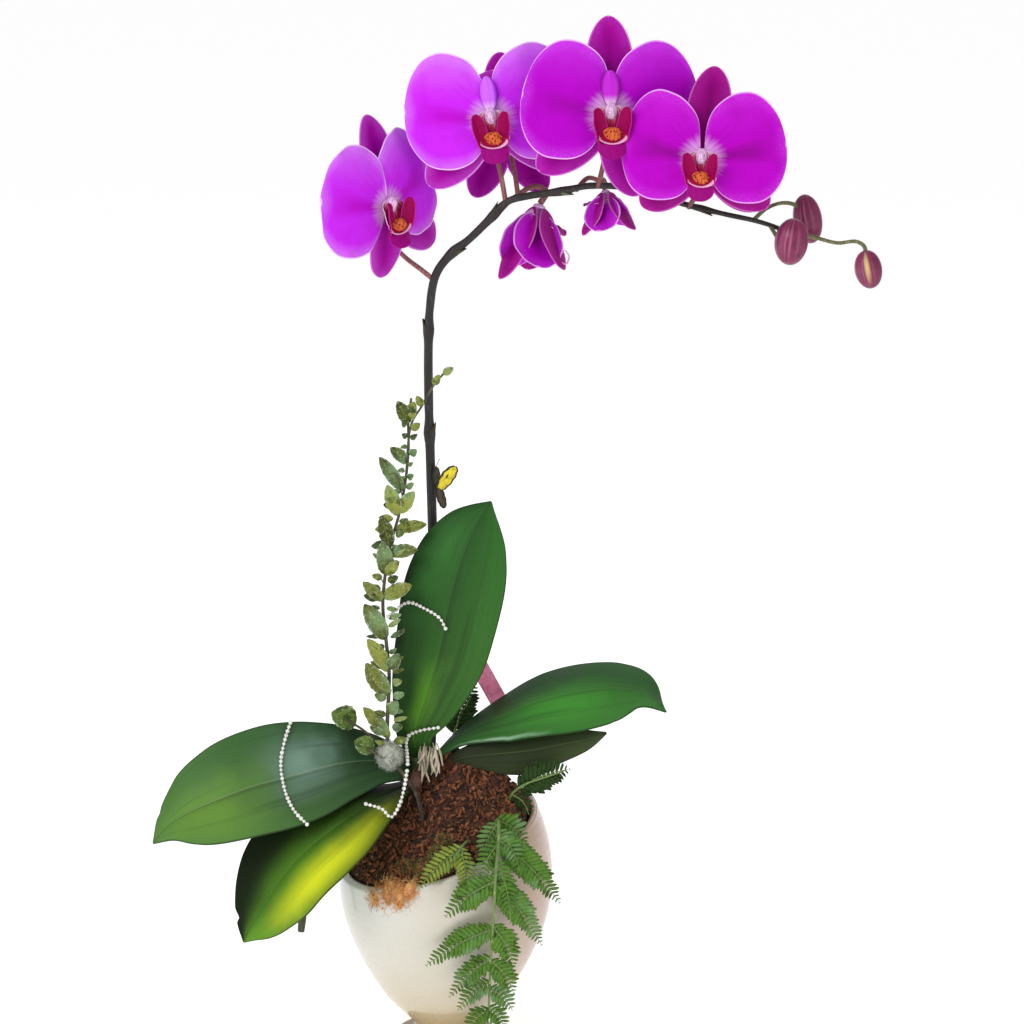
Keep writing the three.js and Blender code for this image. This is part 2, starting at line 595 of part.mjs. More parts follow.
function spikeSolid(budSolids) {
  const solids = [
    taperedTube(SPIKE_PATH, SPIKE_RADII, 6, 28),
    taperedTube(SPIKE_TIP, [1.5, 1.3, 1.2, 1.3], 5, 7),
    ...BUD_TWIGS.map((twig) => taperedTube(twig, [1.3, 1.2, 1.3], 5, 5)),
    ellipsoid([-6, 12, 342], [4.2, 4.4, 5], 6, 4),
    ellipsoid([79, -5.5, 577.5], [5, 3, 3], 6, 4),
  ];
  for (const bloom of Object.values(BLOOMS)) {
    const matrix = bloomMatrix(bloom);
    const tip = new THREE.Vector3(0, 4 + GAP / bloom.scale, -0.5).applyMatrix4(matrix);
    const behind = new THREE.Vector3(0, 13, -3).applyMatrix4(matrix);
    const path = [...bloom.pedicel, behind.toArray(), tip.toArray()];
    solids.push(taperedTube(path, PEDICEL_RADII, 4, path.length + 2));
  }
  const budRoom = budSolids.map((bud) => bud.room);
  return wasm.Manifold.union(solids).subtract(wasm.Manifold.union([crownRoom, ...budRoom]));
}

// Ferns: a pinna is a saw-toothed blade with its teeth leaning to the tip

function pinnaSolid({ base, tip, width, facing, teeth = 4 }) {
  const start = vec(base);
  const length = start.distanceTo(vec(tip));
  const outline = new THREE.Shape();
  outline.moveTo(0, -0.5);
  for (let i = 0; i < teeth; i += 1) {
    const along = (i + 1) / (teeth + 0.6);
    const reach = width * Math.sin(Math.PI * (0.3 + 0.66 * along)) ** 0.9;
    outline.lineTo(length * (along - 0.02), -reach);
    outline.lineTo(length * (along - 0.005), -reach * 0.42);
  }
  outline.lineTo(length, 0);
  for (let i = teeth - 1; i >= 0; i -= 1) {
    const along = (i + 1) / (teeth + 0.6);
    const reach = width * Math.sin(Math.PI * (0.3 + 0.66 * along)) ** 0.9;
    outline.lineTo(length * (along - 0.005), reach * 0.42);
    outline.lineTo(length * (along - 0.02), reach);
  }
  outline.lineTo(0, 0.5);
  outline.closePath();
  const geometry = new THREE.ExtrudeGeometry(outline, { depth: 0.8, bevelEnabled: false });
  geometry.translate(0, 0, -0.4);
  const direction = vec(tip).sub(start).toArray();
  geometry.applyMatrix4(bladeFrame(base, direction, facing));
  return solidOf(geometry);
}

const FRONDS = {
  fern_front: {
    rachis: [
      [32, -38, 152], [34, -48, 169], [36, -62, 174], [36, -76, 163], [34, -81, 143], [33, -80, 118],
      [31, -74, 88], [30, -62, 60], [29, -48, 36], [28, -40, 16],
    ],
    radii: [1.4, 1.2, 1, 0.7],
    pinnae: [
      { base: [36, -74, 166], tip: [76, -62, 119], width: 8 },
      { base: [35, -79, 152], tip: [44, -82, 112], width: 4.5, teeth: 3 },
      { base: [34, -81, 138], tip: [64, -68, 92], width: 8 },
      { base: [34, -81, 140], tip: [2, -86, 118], width: 7.5 },
      { base: [32, -78, 106], tip: [-11, -80, 82], width: 6.5 },
      { base: [32, -78, 108], tip: [46, -72, 78], width: 7 },
      { base: [31, -72, 84], tip: [4, -74, 58], width: 6, teeth: 3 },
      { base: [31, -72, 82], tip: [46, -63, 56], width: 7, teeth: 3 },
      { base: [30, -64, 64], tip: [9, -62, 44], width: 5.5, teeth: 3 },
      { base: [30, -60, 58], tip: [45, -52, 40], width: 6, teeth: 3 },
      { base: [29, -52, 42], tip: [40, -44, 22], width: 6, teeth: 3 },
      { base: [29, -50, 40], tip: [14, -46, 19], width: 6, teeth: 3 },
      { base: [28, -43, 24], tip: [27, -38, 7], width: 5, teeth: 3 },
    ],
    facing: [0, -1, 0.15],
  },
  fern_right: {
    rachis: [[42, -14, 164], [44, -18, 178], [52, -20, 186], [66, -22, 192], [80, -22, 197]],
    radii: [1.1, 0.8, 0.6],
    pinnae: [
      { base: [50, -20, 184], tip: [83, -22, 198], width: 9, teeth: 6 },
      { base: [45, -18, 179], tip: [56, -27, 168], width: 5, teeth: 3 },
    ],
    facing: [0, -1, 0.3],
  },
  fern_back: {
    rachis: [[4, 30, 178], [4, 36, 200], [9, 38, 216], [17, 38, 232]],
    radii: [1.1, 0.9, 0.6],
    pinnae: [{ base: [6, 37, 206], tip: [20, 38, 240], width: 9 }],
    facing: [0, -1, 0],
  },
  fern_rim: {
    rachis: [[16, -42, 150], [15, -54, 158], [10, -68, 156], [2, -78, 146]],
    radii: [1.1, 0.9, 0.6],
    pinnae: [
      { base: [12, -66, 157], tip: [-16, -80, 134], width: 6, teeth: 5 },
      { base: [11, -66, 157], tip: [14, -82, 130], width: 5, teeth: 4 },
    ],
    facing: [-0.1, -1, 0.25],
  },
};

function frondSolid({ rachis, radii, pinnae, facing }) {
  const solids = [taperedTube(rachis, radii, 4, rachis.length + 1)];
  for (const pinna of pinnae) solids.push(pinnaSolid({ facing, ...pinna }));
  return fuse(solids);
}

// Frosted foliage pick: a stem of pointed leaves, a flocked tuft and round leaves at its foot

const PICK_STEM = [
  [-12, -34, 152], [-18, -36, 184], [-27, -37, 199], [-36, -33, 212],
  [-36, -29, 267], [-38, -26, 288], [-40, -22, 310], [-38, -18, 333], [-35, -15, 349],
  [-29, -11, 370], [-25, -7, 391], [-23, -5, 411], [-23, -5, 431], [-21, -5, 445],
];
const PICK_TWIG = [[-25, -7, 391], [-21, -6, 428], [-14, -5, 440], [-6, -5, 454], [0, -5, 461]];
const PICK_TUFT = { centre: [-36, -34, 211], radius: 8.5 };
const PICK_LEAVES = [
  [223, -53, 244, 4.5], [251, -51, 274, 6], [239, -30, 248, 4.5], [288, -52, 312, 6], [267, -50, 290, 5],
  [313, -53, 326, 4], [315, -21, 324, 5], [269, -29, 280, 4.5], [330, -40, 353, 5.5], [347, -41, 369, 5],
  [359, -11, 363, 4], [344, -17, 347, 4.5], [384, -42, 407, 4.5], [368, -37, 389, 5], [370, -19, 385, 4.5],
  [403, -35, 413, 4], [428, -30, 444, 4.5], [431, -19, 443, 4], [255, -47, 267, 4], [330, -29, 340, 3.5],
];

const PICK_ROUND_LEAVES = [
  { centre: [-67, -19, 232], radius: 9, facing: [0.3, -1, 0.5] },
  { centre: [-53, -32, 217], radius: 7, facing: [0.1, -1, 0.6] },
];

function pointAtHeight(points, height) {
  for (let i = 1; i < points.length; i += 1) {
    const [low, high] = [vec(points[i - 1]), vec(points[i])];
    if (height <= high.z) return low.lerp(high, (height - low.z) / (high.z - low.z));
  }
  return vec(points[points.length - 1]);
}

function pickSolid() {
  const random = seededRandom(5);
  const solids = [
    taperedTube(PICK_STEM, [1.5, 1.4, 1.2, 1, 0.8], 4, 14),
    taperedTube(PICK_TWIG, [0.8, 0.7], 4, 7),
    ellipsoid(PICK_TUFT.centre, [PICK_TUFT.radius, PICK_TUFT.radius, PICK_TUFT.radius * 1.2], 8, 5),
  ];
  for (const [stemHeight, tipX, tipHeight, width] of PICK_LEAVES) {
    const base = pointAtHeight(PICK_STEM, stemHeight);
    const tip = new THREE.Vector3(tipX, base.y - 3 + 7 * (random() - 0.5), tipHeight);
    const direction = tip.clone().sub(base);
    const blade = ovalBlade({
      length: direction.length(), halfWidth: width, root: 0, thick: 0.8, spokes: 6, rings: 1,
      point: 1.5, height: (a, b) => -0.09 * b * b,
    });
    const facing = [0.5 * (random() - 0.5), -1, 0.3];
    solids.push(placed(blade, bladeFrame(base.toArray(), direction.toArray(), facing)));
  }
  for (const offset of [0, 1, 2]) {
    const base = vec(PICK_TWIG[2 + offset]);
    const blade = ovalBlade({
      length: 8, halfWidth: 2.6, root: -0.5, thick: 0.8, spokes: 6, rings: 1, height: () => 0,
    });
    const direction = [offset - 0.5, -0.3, 1];
    solids.push(placed(blade, bladeFrame(base.toArray(), direction, [0, -1, 0.2])));
  }
  for (const { centre, radius, facing } of PICK_ROUND_LEAVES) {
    const bend = [centre[0] + 14, centre[1] - 8, centre[2] - 6];
    const stem = taperedTube([PICK_TUFT.centre, bend, centre], [0.9, 0.8], 4, 4);
    const disc = ovalBlade({
      length: radius * 2, halfWidth: radius * 0.9, root: -radius, thick: 1, spokes: 8, rings: 1,
      height: (a, b) => 0.012 * (a * a + b * b),
    });
    solids.push(stem, placed(disc, bladeFrame(centre, [-0.9, -0.1, 0.5], facing)));
  }
  return fuse(solids);
}

// Strand of beads: a wire that swells into a bead at every pitch
function beadStrand(points) {
  const curve = new THREE.CatmullRomCurve3(points.map((p) => (Array.isArray(p) ? vec(p) : p)));
  const beads = Math.max(2, Math.round(curve.getLength() / BEAD_PITCH));
  const steps = beads * 3;
  const radii = [];
  for (let i = 0; i <= steps; i += 1) radii.push(i % 3 ? BEAD_RADIUS : BEAD_WIRE);
  return taperedTube(curve.points.map((p) => p.toArray()), radii, 4, steps);
}

// Butterfly pick clipped to the spike: slim body with two raised wings
function butterflySolid() {
  const body = taperedTube([[-5.6, 7.4, 397], [-5.4, 7.1, 388], [-4, 6.2, 379]], [1, 1.6, 1.5, 0.7], 5, 5);
  const wing = (base, direction, facing, length, halfWidth) => placed(ovalBlade({
    length, halfWidth, root: -1, thick: 0.8, spokes: 8, rings: 1, height: () => 0,
  }), bladeFrame(base, direction, facing));
  return fuse([
    body,
    wing([-4.6, 6, 386], [0.62, -0.3, 0.72], [0.35, -0.9, -0.1], 19, 6.5),
    wing([-4.2, 5.8, 383], [0.55, -0.3, -0.8], [0.4, -0.9, 0.1], 12, 4.5),
  ]);
}

// Slip-on label: a stiff strip that leans back behind the leaves from a loop round the spike
function labelSolid() {
  const top = [-1, 19, 302];
  const end = [46, 52, 205];
  const along = vec(end).sub(vec(top));
  const strip = new THREE.BoxGeometry(along.length(), 12, 0.8);
  strip.translate(along.length() / 2, 0, 0);
  strip.applyMatrix4(bladeFrame(top, along.toArray(), [0.2, -1, -0.4]));
  const loop = lathe([[4, 298], [5.2, 298], [5.2, 305], [4, 305], [4, 298]], 12, -8.6, 12.6);
  const neck = new THREE.BoxGeometry(7, 6, 5);
  neck.translate(-2, 19, 301.5);
  const bore = lathe([[0, 290], [4, 290], [4, 312], [0, 312]], 12, -8.6, 12.6);
  return fuse([solidOf(strip), loop, solidOf(neck).subtract(bore)]);
}

// Loose orange coir that spills over the front of the rim, clear of the pot and the mound
function tuftSolid(room) {
  const random = seededRandom(23);
  const solids = [];
  for (let i = 0; i < TUFT.clumps; i += 1) {
    const angle = turn(TUFT.from + (TUFT.to - TUFT.from) * (i / (TUFT.clumps - 1)));
    const reach = 68 + 2 * random();
    const [x, y] = [reach * Math.cos(angle), reach * Math.sin(angle)];
    const drop = TUFT.drop * (0.4 + 0.6 * Math.sin((Math.PI * (i + 0.7)) / (TUFT.clumps + 0.4)));
    solids.push(ellipsoid([x, y, mouthHeight(x, y) - 1 - drop / 2], [6, 6, 4 + drop], 6, 4));
  }
  return wasm.Manifold.union(solids).subtract(room);
}

// Assembly

const leaves = Object.fromEntries(Object.entries(LEAVES).map(([name, leaf]) => [name, prepareLeaf(leaf)]));

const buds = Object.entries(BUDS).map(([name, bud]) => {
  const room = { ...bud, radii: bud.radii.map((radius) => radius + GAP) };
  return { name, solid: budSolid(bud), room: budSolid(room) };
});

// Straight plain hole for a stem that stands in the mound
function stemHole(low, high, radius) {
  return taperedTube([low, high], [radius], 6, 1);
}

const stemHoles = [
  stemHole([-10.5, -33.5, 144], [-18.4, -36.1, 186], 2.4),
  stemHole([31.6, -35, 145], [34.4, -48, 171], 2.6),
  stemHole([41.6, -12, 158], [44.3, -18.9, 181], 1.8),
  stemHole([4, 27.3, 168], [4, 36.8, 203], 1.7),
  stemHole([16.4, -36, 146], [14.6, -58.5, 161], 2.8),
  stemHole([-9.6, 9, 186], [-10, 13, 207], 4.6),
];

const rootRoom = wasm.Manifold.union([
  taperedTube(HANGING_ROOT, [3 + GAP * 2], 6, 8),
  taperedTube(CUT_STUB, [5.2], 6, 4),
]);

// Room in the mound round the base of a leaf
function leafRoom(leaf) {
  const widths = leaf.widths.map((width) => width + 1);
  return leafSolid(prepareLeaf({ ...leaf, widths, thick: leaf.thick + 4 * GAP }));
}

addNode('pot', potSolid(), COLOURS.glaze, 0.2);
addNode('potting_mix', pottingMixSolid(), COLOURS.mix, 0.95);
const mound = moundSolid([
  crownRoom, rootRoom, ...stemHoles, leafRoom(LEAVES.leaf_left_lower), leafRoom(LEAVES.leaf_right_lower),
]);
addNode('coir_mound', mound, COLOURS.coir, 0.95);
const potRoom = lathe([
  [0, 0], ...POT_OUTER.slice(1).map(([radius, height]) => [radius + GAP, height]), [0, 182],
], POT_SEGMENTS).subtract(aboveMouth(-GAP));
const tuftRoom = wasm.Manifold.union([potRoom, mound.translate([0, -0.2, GAP])]);
addNode('coir_tuft', tuftSolid(tuftRoom), COLOURS.tuft, 0.95);
addNode('crown', fuse([
  crownCore,
  taperedTube(HANGING_ROOT, [3, 2.8, 2.8, 2.6, 1.2], 6, 8),
  taperedTube(CUT_STUB, [4, 4.5, 4.4], 6, 4),
]), COLOURS.leaf);

for (const [name, leaf] of Object.entries(leaves)) {
  addNode(name, leafSolid(leaf).subtract(crownRoom).subtract(rootRoom), COLOURS.leaf, 0.35);
}

addNode('flower_spike', spikeSolid(buds), COLOURS.stem);
for (const [letter, bloom] of Object.entries(BLOOMS)) {
  addNode(`bloom_${letter}`, bloomSolid(bloom), COLOURS.petal, 0.5);
  if (!bloom.nodding) addNode(`lip_${letter}`, lipSolid(bloom), COLOURS.lip, 0.4);
}
for (const { name, solid } of buds) addNode(name, solid, COLOURS.bud, 0.4);
for (const [name, frond] of Object.entries(FRONDS)) addNode(name, frondSolid(frond), COLOURS.fern);

addNode('frosted_pick', pickSolid(), COLOURS.frost, 0.8);

const onLeaf = (name, stations) => stations.map(([u, v, raised]) => leafPoint(leaves[name], u, v, raised));
const BEAD_LIFT = BEAD_RADIUS + 1.1 + GAP;
addNode('beads_centre_leaf', beadStrand([
  [-36.5, -28, 304],
  ...onLeaf('leaf_centre', [
    [0.575, -0.8, -BEAD_LIFT], [0.57, -0.45, -BEAD_LIFT], [0.55, -0.1, -BEAD_LIFT], [0.52, 0.05, -BEAD_LIFT],
  ]),
]), COLOURS.bead, 0.3);
addNode('beads_left_leaf', beadStrand(onLeaf('leaf_left_upper', [
  [0.42, -0.95, BEAD_LIFT], [0.46, -0.6, BEAD_LIFT], [0.49, -0.25, BEAD_LIFT], [0.5, 0.1, BEAD_LIFT],
  [0.5, 0.45, BEAD_LIFT], [0.49, 0.75, BEAD_LIFT], [0.47, 1.05, BEAD_LIFT],
])), COLOURS.bead, 0.3);

addNode('beads_mound', beadStrand([
  [-24.1, -46, 204], [-26, -52, 193.5], [-29.1, -58, 183.8], [-34.2, -62, 177.5],
  [-40, -64, 183.6], [-50.3, -66, 187.7],
]), COLOURS.bead, 0.3);
addNode('beads_leaf_foot', beadStrand([
  [-24, -37, 206],
  ...onLeaf('leaf_centre', [
    [0.1, -0.3, -BEAD_LIFT - GAP], [0.13, 0.2, -BEAD_LIFT - GAP], [0.16, 0.8, -BEAD_LIFT],
  ]),
]), COLOURS.bead, 0.3);

addNode('butterfly', butterflySolid(), COLOURS.butterfly, 0.5);
addNode('plant_label', labelSolid(), COLOURS.label, 0.5);

export default group;
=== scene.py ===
"""Potted moth orchid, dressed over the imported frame.

Sizes are millimetres in the row frame until a mesh is made: +Z is up and the front faces -Y.
"""

import logging
import math
from dataclasses import dataclass, field
from enum import Enum
from functools import cache
from typing import Callable, Sequence

import bmesh
import bpy
import numpy as np
from mathutils import Matrix, Vector, noise


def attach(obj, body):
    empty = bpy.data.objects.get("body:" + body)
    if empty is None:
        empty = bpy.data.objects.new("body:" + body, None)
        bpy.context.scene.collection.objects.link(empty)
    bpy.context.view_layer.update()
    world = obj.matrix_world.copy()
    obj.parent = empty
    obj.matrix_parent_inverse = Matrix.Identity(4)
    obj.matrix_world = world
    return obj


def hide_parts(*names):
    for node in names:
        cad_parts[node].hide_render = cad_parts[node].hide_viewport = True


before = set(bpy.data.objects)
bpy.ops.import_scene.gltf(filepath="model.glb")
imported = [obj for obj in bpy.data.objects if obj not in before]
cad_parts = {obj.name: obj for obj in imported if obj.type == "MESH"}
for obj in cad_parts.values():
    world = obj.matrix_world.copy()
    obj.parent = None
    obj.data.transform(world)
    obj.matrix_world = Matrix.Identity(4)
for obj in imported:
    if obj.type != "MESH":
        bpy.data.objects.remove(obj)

LOG = logging.getLogger("orchid")
MM = 0.001
GAP = 0.35
UV_NAME = "blade"
EDGE_NAME = "edge"
TONE_NAME = "tone"
GIRTH_NAME = "girth"
FAR_FROM_RIM = 9.0
PI = math.pi

Triple = tuple[float, float, float]
Colour = tuple[float, float, float, float]
Face = tuple[int, ...]
Array = np.ndarray
Thing = bpy.types.Object
Socket = bpy.types.NodeSocket
Material = bpy.types.Material


def srgb(*display: float) -> Colour:
    """Linear colour with alpha 1 from red, green and blue display values of 0 to 255."""
    shares = [value / 255 for value in display]
    return (*(s / 12.92 if s <= 0.04045 else ((s + 0.055) / 1.055) ** 2.4 for s in shares), 1.0)


def unit(vector: Sequence[float]) -> Array:
    """The vector at length 1."""
    array = np.asarray(vector, float)
    return array / max(float(np.linalg.norm(array)), 1e-12)


def wobble(x: float, y: float, z: float, scale: float) -> float:
    """Smooth noise of a point in millimetres, about -1 to 1, with features of the given size."""
    return noise.noise(Vector((x / scale, y / scale, z / scale)))


def linked(name: str, data: bpy.types.ID) -> Thing:
    """A new object in the scene with the given mesh, lamp or camera."""
    thing = bpy.data.objects.new(name, data)
    bpy.context.scene.collection.objects.link(thing)
    return thing


# Paths and surfaces


class SmoothPath:
    """Centripetal curve through points, measured along its length."""

    def __init__(self, points: Sequence[Sequence[float]], steps: int = 24) -> None:
        """Samples the curve.

        Args:
            points: the points that it passes through, in millimetres.
            steps: samples between two points.
        """
        knots = [np.asarray(p, float) for p in points]
        knots = [2 * knots[0] - knots[1], *knots, 2 * knots[-1] - knots[-2]]
        dense = [knots[1]]
        for a, b, c, d in zip(knots, knots[1:], knots[2:], knots[3:]):
            spans = [max(float(np.linalg.norm(q - p)) ** 0.5, 1e-4) for p, q in ((a, b), (b, c), (c, d))]
            first = ((b - a) / spans[0] - (c - a) / (spans[0] + spans[1]) + (c - b) / spans[1]) * spans[1]
            second = ((c - b) / spans[1] - (d - b) / (spans[1] + spans[2]) + (d - c) / spans[2]) * spans[1]
            square, cube = -3 * b + 3 * c - 2 * first - second, 2 * b - 2 * c + first + second
            for step in range(1, steps + 1):
                t = step / steps
                dense.append(b + first * t + square * t**2 + cube * t**3)
        self.dense = np.array(dense)
        run = np.concatenate([[0], np.cumsum(np.linalg.norm(np.diff(self.dense, axis=0), axis=1))])
        self.share = run / float(run[-1])

    def at(self, u: Array | float) -> Array:
        """Points at shares of the length, one row each."""
        return np.stack([np.interp(u, self.share, self.dense[:, k]) for k in range(3)], axis=-1)

    def tangent(self, u: Array | float) -> Array:
        """Unit directions at shares of the length."""
        step = 0.004
        ahead = self.at(np.clip(np.asarray(u) + step, 0, 1)) - self.at(np.clip(np.asarray(u) - step, 0, 1))
        return ahead / np.maximum(np.linalg.norm(ahead, axis=-1, keepdims=True), 1e-9)


def stations(values: Sequence, u: Array) -> Array:
    """Numbers or vectors at shares along evenly spaced stations."""
    table = np.asarray(values, float)
    places = np.linspace(0, 1, len(table))
    if table.ndim == 1:
        return np.interp(u, places, table)
    return np.stack([np.interp(u, places, column) for column in table.T], axis=-1)


def eased_stations(values: Sequence[float], u: Array) -> Array:
    """Numbers at shares along evenly spaced stations, rounded off at each station."""
    path = SmoothPath([(i / (len(values) - 1) * 100, value, 0) for i, value in enumerate(values)], 12)
    return np.interp(np.asarray(u) * 100, path.dense[:, 0], path.dense[:, 1])


def blade_frame(origin: Sequence[float], direction: Sequence[float], facing: Sequence[float]) -> Array:
    """Placement of a blade that grows along a direction with its face towards facing.

    Args:
        origin: where the blade's root is.
        direction: the way that it grows.
        facing: the way that its face looks.

    Returns:
        A 4 by 4 matrix from the blade's own frame, where it grows along X and faces Z.
    """
    along = unit(direction)
    face = np.asarray(facing, float)
    face = unit(face - along * float(face @ along))
    matrix = np.eye(4)
    matrix[:3, 0], matrix[:3, 1], matrix[:3, 2], matrix[:3, 3] = along, np.cross(face, along), face, origin
    return matrix


def moved(points: Array, matrix: Array) -> Array:
    """Points, in an array of any shape, taken through a 4 by 4 matrix."""
    return points @ matrix[:3, :3].T + matrix[:3, 3]


def edge_to_edge(count: int) -> Array:
    """Places from -1 to 1 across a blade, closer together at its rims."""
    return np.sin(np.linspace(-PI / 2, PI / 2, count))


def grid_faces(rows: int, columns: int, start: int = 0, wrap: bool = False) -> list[Face]:
    """Quads of a grid of points.

    Args:
        rows: points one way.
        columns: points the other way.
        start: index of the first point.
        wrap: whether the last column joins the first.

    Returns:
        The faces, as point indices.
    """
    faces = []
    for i in range(rows - 1):
        for j in range(columns if wrap else columns - 1):
            k = (j + 1) % columns
            a, b = start + i * columns, start + (i + 1) * columns
            faces.append((a + j, b + j, b + k, a + k))
    return faces


def fan_faces(centre: int, start: int, count: int) -> list[Face]:
    """Triangles from a centre point to a ring of points."""
    return [(centre, start + k, start + (k + 1) % count) for k in range(count)]


def grid_normals(points: Array) -> Array:
    """Unit normals of a grid of points; an end row that is a point takes its neighbour's."""
    normal = np.cross(np.gradient(points, axis=0), np.gradient(points, axis=1))
    size = np.linalg.norm(normal, axis=-1, keepdims=True)
    rows = size[..., 0].max(axis=1)
    for end, inner in ((0, 1), (-1, -2)):
        if rows[end] < 1e-4:
            normal[end], size[end] = normal[inner], size[inner]
    return normal / np.maximum(size, 1e-9)


class Draft:
    """Collects closed surfaces in millimetres and makes one mesh object of them."""

    def __init__(self) -> None:
        """Starts empty."""
        self.points: list[Array] = []
        self.faces: list[Face] = []
        self.uvs: list[Array] = []
        self.edges: list[Array] = []
        self.tones: list[Array] = []
        self.slots: list[int] = []
        self.count = 0

    def add(self, points: Array, faces: Sequence[Face], uv: Array | None = None,
            edge: Array | None = None, slot: int = 0, tone: float = 0.5) -> None:
        """Adds one surface.

        Args:
            points: its points, one row each.
            faces: its faces, as indices into points.
            uv: pattern coordinates of each point.
            edge: each point's distance from the rim, in millimetres.
            slot: which of the object's materials it has.
            tone: a shade for the whole surface, 0 to 1.
        """
        flat = np.asarray(points, float).reshape(-1, 3)
        self.points.append(flat)
        self.faces.extend(tuple(i + self.count for i in face) for face in faces)
        self.uvs.append(np.zeros((len(flat), 2)) if uv is None else np.asarray(uv, float).reshape(-1, 2))
        self.edges.append(np.full(len(flat), FAR_FROM_RIM) if edge is None else np.asarray(edge,
                                                                                           float).ravel())
        self.tones.append(np.full(len(flat), tone))
        self.slots.extend([slot] * len(faces))
        self.count += len(flat)

    def merge(self, other: "Draft", matrix: Array, slot: int) -> None:
        """Adds another draft's surfaces, taken through a matrix, in one slot."""
        self.add(moved(np.concatenate(other.points), matrix), other.faces, np.concatenate(other.uvs),
                 slot=slot)

    def sheet(self, middle: Array, thick: Array | float, uv: Array | None = None, edge: Array | None = None,
              slot: int = 0, tone: float = 0.5, normal: Array | None = None) -> None:
        """Adds a thin closed blade from a grid of points on its middle surface.

        Args:
            middle: rows by columns by 3 points.
            thick: thickness at each point.
            uv: pattern coordinates in the same layout.
            edge: distance of each point from the rim.
            slot: material index.
            tone: a shade for the whole blade.
            normal: unit normals, where they aren't the grid's own.
        """
        rows, columns = middle.shape[:2]
        normal = grid_normals(middle) if normal is None else normal
        half = (np.ones((rows, columns)) * thick / 2)[..., None] * normal
        points = np.concatenate([(middle + half).reshape(-1, 3), (middle - half).reshape(-1, 3)])
        back = rows * columns
        faces = grid_faces(rows, columns)
        faces += [tuple(reversed(face)) for face in grid_faces(rows, columns, back)]
        ring = [(0, j) for j in range(columns)] + [(i, columns - 1) for i in range(1, rows)]
        ring += [(rows - 1, j) for j in range(columns - 2, -1, -1)] + [(i, 0) for i in range(rows - 2, 0, -1)]
        for (i, j), (k, m) in zip(ring, ring[1:] + ring[:1]):
            a, b = i * columns + j, k * columns + m
            faces.append((a, b, back + b, back + a))
        double_uv = None if uv is None else np.concatenate([uv.reshape(-1, 2)] * 2)
        double_edge = None if edge is None else np.concatenate([edge.ravel()] * 2)
        self.add(points, faces, double_uv, double_edge, slot, tone)

    def oval(self, length: float, half: float, powers: tuple[float, float], size: tuple[int, int], end: float,
             matrix: Array, height: Callable[[Array, Array, Array], Array], thick: float = 0.7,
             wave: float = 0.0, start: float = 0.0, slot: int = 0, tone: float = 0.5,
             thin: float = 0.0) -> None:
        """Adds an oval blade.

        Args:
            length: its length.
            half: half its width.
            powers: how full it is towards its root and its tip, less being fuller.
            size: rows and columns of points.
            end: how far the first and last row lie from its ends, of a half turn.
            matrix: its placement.
            height: its lift, from the turn along it, the places across and the distances from the midline.
            thick: its thickness.
            wave: how often its rim waves.
            start: where it starts along its own X.
            slot: material index.
            tone: its shade, 0 to 1.
            thin: how much thinner it gets towards its rim.
        """
        t = np.linspace(end, PI - end, size[0])
        v = edge_to_edge(size[1])
        wide = half * np.sin(t) ** np.where(t > PI / 2, powers[1], powers[0])
        if wave:
            wide = wide * (1 + 0.05 * np.sin(t * wave))
        b = wide[:, None] * v
        along = np.broadcast_to((start + length / 2 * (1 - np.cos(t)))[:, None], b.shape)
        middle = moved(np.stack([along, b, height(t[:, None], v, b)], axis=-1), matrix)
        uv = np.stack([np.broadcast_to(share, b.shape) for share in ((t / PI)[:, None], (1 + v) / 2)],
                      axis=-1)
        edge = (1 - np.abs(v))[None, :] * wide[:, None]
        self.sheet(middle, thick * (1 - thin * np.abs(v) ** 4), uv, edge, slot, tone)

    def tube(self, path: SmoothPath, radii: Sequence[float], sides: int, steps: int, slot: int = 0,
             ripple: Callable[[Array, Array], Array] | None = None) -> None:
        """Adds a round bar with closed ends along a path.

        Args:
            path: its middle line.
            radii: radii at even stations.
            sides: points round it.
            steps: stretches along it.
            slot: material index.
            ripple: factor on the radius from the share along and the turn round.
        """
        u = np.linspace(0, 1, steps + 1)
        centre, along = path.at(u), path.tangent(u)
        across = unit(np.cross(along[0], (0.3, 0.9, 0.2)))
        skin, uvs = [], []
        turns = np.linspace(0, 2 * PI, sides, endpoint=False)
        girth = eased_stations(radii, u)
        for i in range(steps + 1):
            across = unit(across - along[i] * float(across @ along[i]))
            up = np.cross(along[i], across)
            factor = ripple(np.full(sides, u[i]), turns) if ripple else np.ones(sides)
            for turn, scale in zip(turns, factor):
                skin.append(centre[i] + girth[i] * scale * (math.cos(turn) * across + math.sin(turn) * up))
                uvs.append((u[i], turn / (2 * PI)))
        faces = grid_faces(steps + 1, sides, wrap=True)
        for end, row in ((0, 0), (1, steps)):
            skin.append(centre[-end])
            uvs.append((end, 0.5))
            faces += fan_faces(len(skin) - 1, row * sides, sides)
        self.add(np.array(skin), faces, np.array(uvs), slot=slot)

